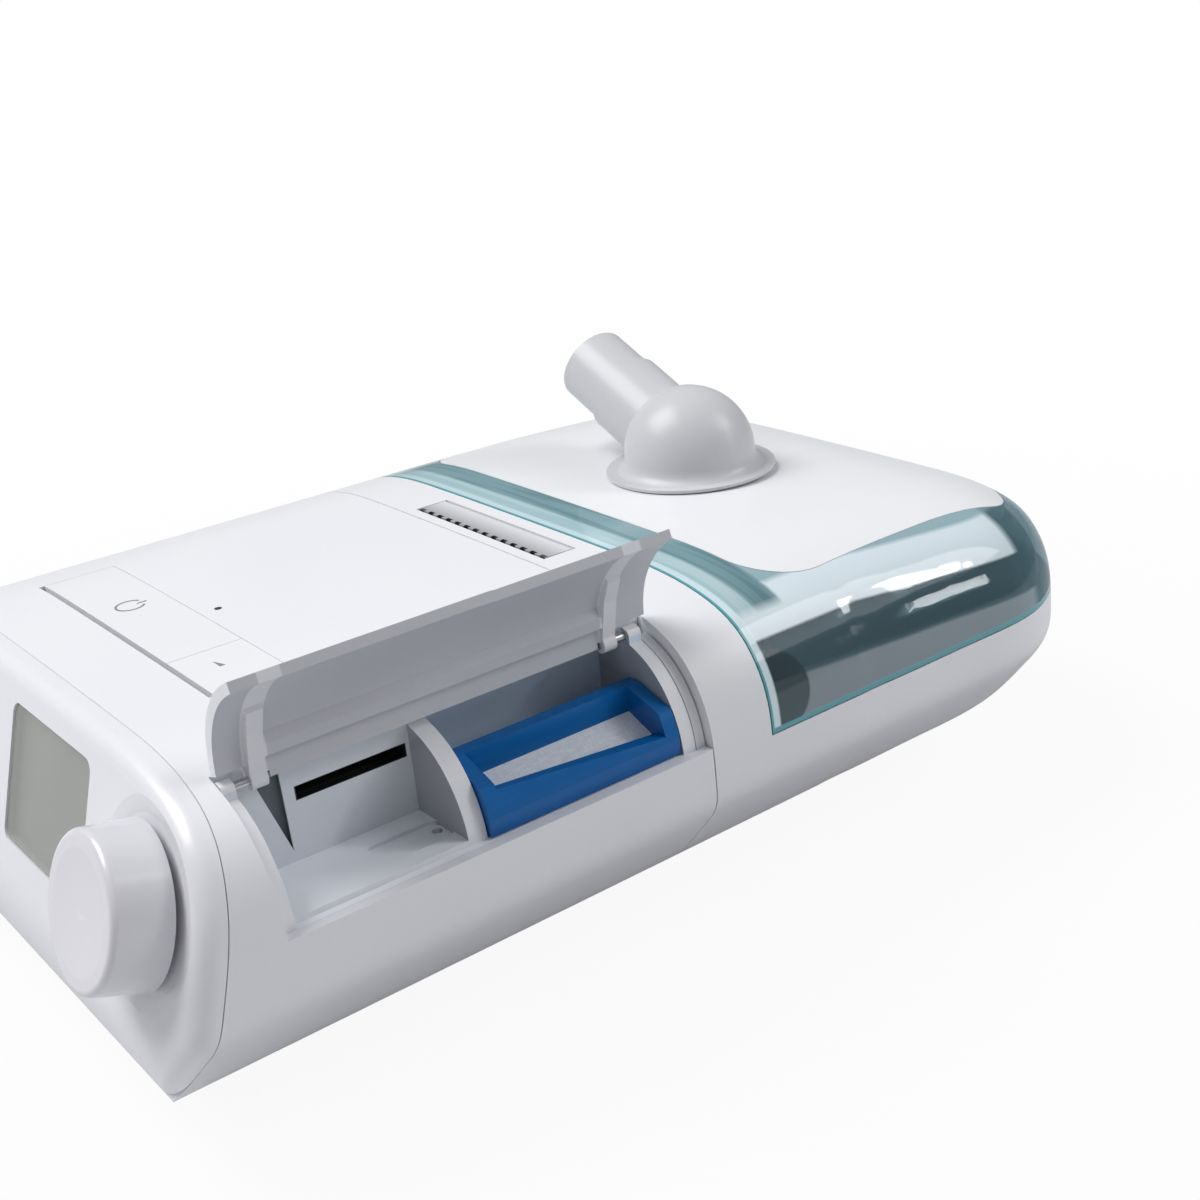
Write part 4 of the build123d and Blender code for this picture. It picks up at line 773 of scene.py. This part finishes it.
def printed(name, node, centre, loops, body, material):
    """Flat shapes, each a loop of points, dropped onto a node's upper side."""
    target = nodes[node]
    mesh = bpy.data.meshes.new(name)
    work = bmesh.new()
    for loop in loops:
        corners = []
        for x, y in loop:
            start = Vector((centre[0] + x, centre[1] + y, cad_high.z + DROP_HEIGHT))
            found, place, normal, _ = target.ray_cast(start, Vector((0, 0, -1)))
            if not found:
                raise RuntimeError(f"{name} misses {node}")
            corners.append(work.verts.new(place + normal * INK_LIFT))
        work.faces.new(corners)
    bmesh.ops.triangulate(work, faces=work.faces[:])
    bmesh.ops.solidify(work, geom=work.faces[:], thickness=INK_THICKNESS)
    work.to_mesh(mesh)
    work.free()
    mark = bpy.data.objects.new(name, mesh)
    bpy.context.scene.collection.objects.link(mark)
    mesh.materials.append(material)
    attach(mark, body)


grey_ink = ink()
tell(grey_ink)

# %% [markdown]
# A ring with a bar stands for therapy, a small wedge for the pressure ramp, and a dark dot on the roof is
# the status light. An arc is a row of points joined by straight lines, fine enough at a few millimetres.

# %% Shapes of the marks
THERAPY_PLACE, RAMP_PLACE = (-0.0245, -0.0892), (0.0267, -0.0900)
STATUS_PLACE, STATUS_RADIUS = (-0.0048, -0.0753), 0.0009
RING_RADIUS, RING_WIDTH = 0.0034, 0.00055
BAR_HALF, BAR_FOOT, BAR_TOP = 0.00028, 0.0018, 0.0042
WEDGE_HALF, WEDGE_FOOT, WEDGE_TOP = 0.0019, -0.0006, 0.0007


def arc(radius, first, last, steps=28):
    """Points along an arc, in metres, about the origin. Angles in degrees."""
    turns = [math.radians(first + (last - first) * n / steps) for n in range(steps + 1)]
    return [(radius * math.cos(t), radius * math.sin(t)) for t in turns]


def band(radius, width, first, last):
    """A curved band, as quads end to end."""
    outer, inner = arc(radius + width / 2, first, last), arc(radius - width / 2, first, last)
    return [[outer[n], outer[n + 1], inner[n + 1], inner[n]] for n in range(len(outer) - 1)]


ring = band(RING_RADIUS, RING_WIDTH, 120, 420)
bar = [[(-BAR_HALF, BAR_FOOT), (BAR_HALF, BAR_FOOT), (BAR_HALF, BAR_TOP), (-BAR_HALF, BAR_TOP)]]
wedge = [[(-WEDGE_HALF, WEDGE_FOOT), (WEDGE_HALF, WEDGE_FOOT), (WEDGE_HALF, WEDGE_TOP)]]
dot = [arc(STATUS_RADIUS, 0, 345, 23)]
printed("therapy_mark", "therapy_button", THERAPY_PLACE, ring + bar, "therapy_key", grey_ink)
printed("ramp_mark", "ramp_button", RAMP_PLACE, wedge, "ramp_key", grey_ink)
printed("status_window", "upper_case", STATUS_PLACE, dot, "machine", dark_plastic)

# %% [markdown]
# The studio is a white table, which keeps the machine's shadow. Where the camera sees the floor directly
# it is close to plain white, and quite plain further out. Light Path tells a material which ray has met
# it, so no extra light has to fall on the machine to make the background white.

# %% Floor
FLOOR_HALF_SIZE = 6
WHITENING = 0.93
PLAIN_START, PLAIN_END = 0.16, 0.42


def seen_directly(place):
    """1 for rays that come straight from the camera or by way of clear plastic."""
    path = place.node("ShaderNodeLightPath").socket.node.outputs
    camera_ray = Wire(place.tree, path["Is Camera Ray"])
    return camera_ray.larger(Wire(place.tree, path["Is Transmission Ray"]))


def studio_floor():
    """A wide pale floor that reads as white paper."""
    mesh = bpy.data.meshes.new("studio_floor")
    half = FLOOR_HALF_SIZE
    corners = [(-half, -half, 0), (half, -half, 0), (half, half, 0), (-half, half, 0)]
    mesh.from_pydata(corners, [], [(0, 1, 2, 3)])
    floor = bpy.data.objects.new("studio_floor", mesh)
    bpy.context.scene.collection.objects.link(floor)
    material, shader, place = finish_base("paper", Roughness=0.9)
    tone = noise(place, 6, 2.0).colours((0.60, 0.605, 0.615), (0.64, 0.645, 0.655))
    put(shader, place, Base_Color=tone)
    glow = place.node("ShaderNodeEmission", Color=(1, 1, 1, 1), Strength=1.0)
    across, along, _ = place.split()
    reach = (across * across + along * along).root().between(PLAIN_START, PLAIN_END)
    seen = seen_directly(place) * (WHITENING + (1.0 - WHITENING) * reach)
    matt = Wire(place.tree, shader.outputs[0])
    surface(material, place.node("ShaderNodeMixShader", s0=seen, s1=matt, s2=glow))
    mesh.materials.append(material)


studio_floor()
print("floor", 2 * FLOOR_HALF_SIZE, "m wide")

# %% [markdown]
# One large soft lamp in front, on the left, gives the broad, even light of the picture, and a smaller one
# behind, on the right, lifts the side that the camera sees. Glossy plastic mirrors its lamps, so the two
# bright bars in the lid's window are lamps of their own: narrow, weak strips that stand where the window
# mirrors them to the camera.

# %% Lamps
MIDDLE = (0, 0, 0.04)
KEY_PLACE, KEY_SIZE, KEY_WATTS = (-0.60, -0.74, 1.50), 1.1, 28.5
WINDOW_PLACE, WINDOW_SIZE, WINDOW_WATTS = (0.74, 0.95, 1.00), 0.72, 4.6
WINDOW_COLOUR = (0.97, 0.985, 1.0)
UPPER_STRIP, UPPER_WATTS = ((0.521, 0.860, 0.854), (0.690, 0.881, 0.650)), 1.6
LOWER_STRIP, LOWER_WATTS = ((0.830, 0.899, 0.480), (0.905, 0.905, 0.350)), 0.8
STRIP_WIDTH = 0.09


def lamp(name, place, target, size, watts, colour=(1, 1, 1)):
    """A square soft lamp that looks at a point."""
    data = bpy.data.lights.new(name, "AREA")
    data.shape, data.size, data.energy, data.color = "SQUARE", size, watts, colour
    made = bpy.data.objects.new(name, data)
    bpy.context.scene.collection.objects.link(made)
    made.location = place
    made.rotation_euler = (Vector(target) - Vector(place)).to_track_quat("-Z", "Y").to_euler()
    return made


def strip(name, start, end, width, watts):
    """A narrow lamp between two points: the bright bars that glossy plastic mirrors."""
    start, end = Vector(start), Vector(end)
    made = lamp(name, (start + end) / 2, MIDDLE, width, watts)
    made.data.shape, made.data.size, made.data.size_y = "RECTANGLE", (end - start).length, width
    run = (end - start).normalized()
    toward = (Vector(MIDDLE) - made.location).normalized()
    rise = toward.cross(run).normalized()
    turn = Matrix((rise.cross(toward), -rise, -toward)).transposed()
    made.rotation_euler = turn.to_euler()


lamp("key_lamp", KEY_PLACE, MIDDLE, KEY_SIZE, KEY_WATTS)
lamp("window_lamp", WINDOW_PLACE, MIDDLE, WINDOW_SIZE, WINDOW_WATTS, WINDOW_COLOUR)
strip("upper_strip", *UPPER_STRIP, STRIP_WIDTH, UPPER_WATTS)
strip("lower_strip", *LOWER_STRIP, STRIP_WIDTH, LOWER_WATTS)

# %% [markdown]
# The world is a dim, slightly cool sky that fills the shadows. The camera itself sees plain white there,
# by the same Light Path rule as on the floor. The Standard view keeps white at white.

# %% World
SKY_COLOUR, SKY_STRENGTH = (0.93, 0.94, 0.97), 0.30
world = bpy.data.worlds.new("studio")
bpy.context.scene.world = world
world.use_nodes = True
background = world.node_tree.nodes["Background"]
background.inputs[0].default_value = (*SKY_COLOUR, 1)
background.inputs[1].default_value = SKY_STRENGTH
sky = Wire(world.node_tree, background.outputs[0])
white = sky.node("ShaderNodeBackground", Color=(1, 1, 1, 1), Strength=1.0)
mixed = sky.node("ShaderNodeMixShader", s0=seen_directly(sky), s1=sky, s2=white)
world_output = next(n for n in world.node_tree.nodes if n.type == "OUTPUT_WORLD")
world.node_tree.links.new(mixed.socket, world_output.inputs[0])
bpy.context.scene.view_settings.view_transform = "Standard"
print("view", bpy.context.scene.view_settings.view_transform, "sky strength", SKY_STRENGTH)
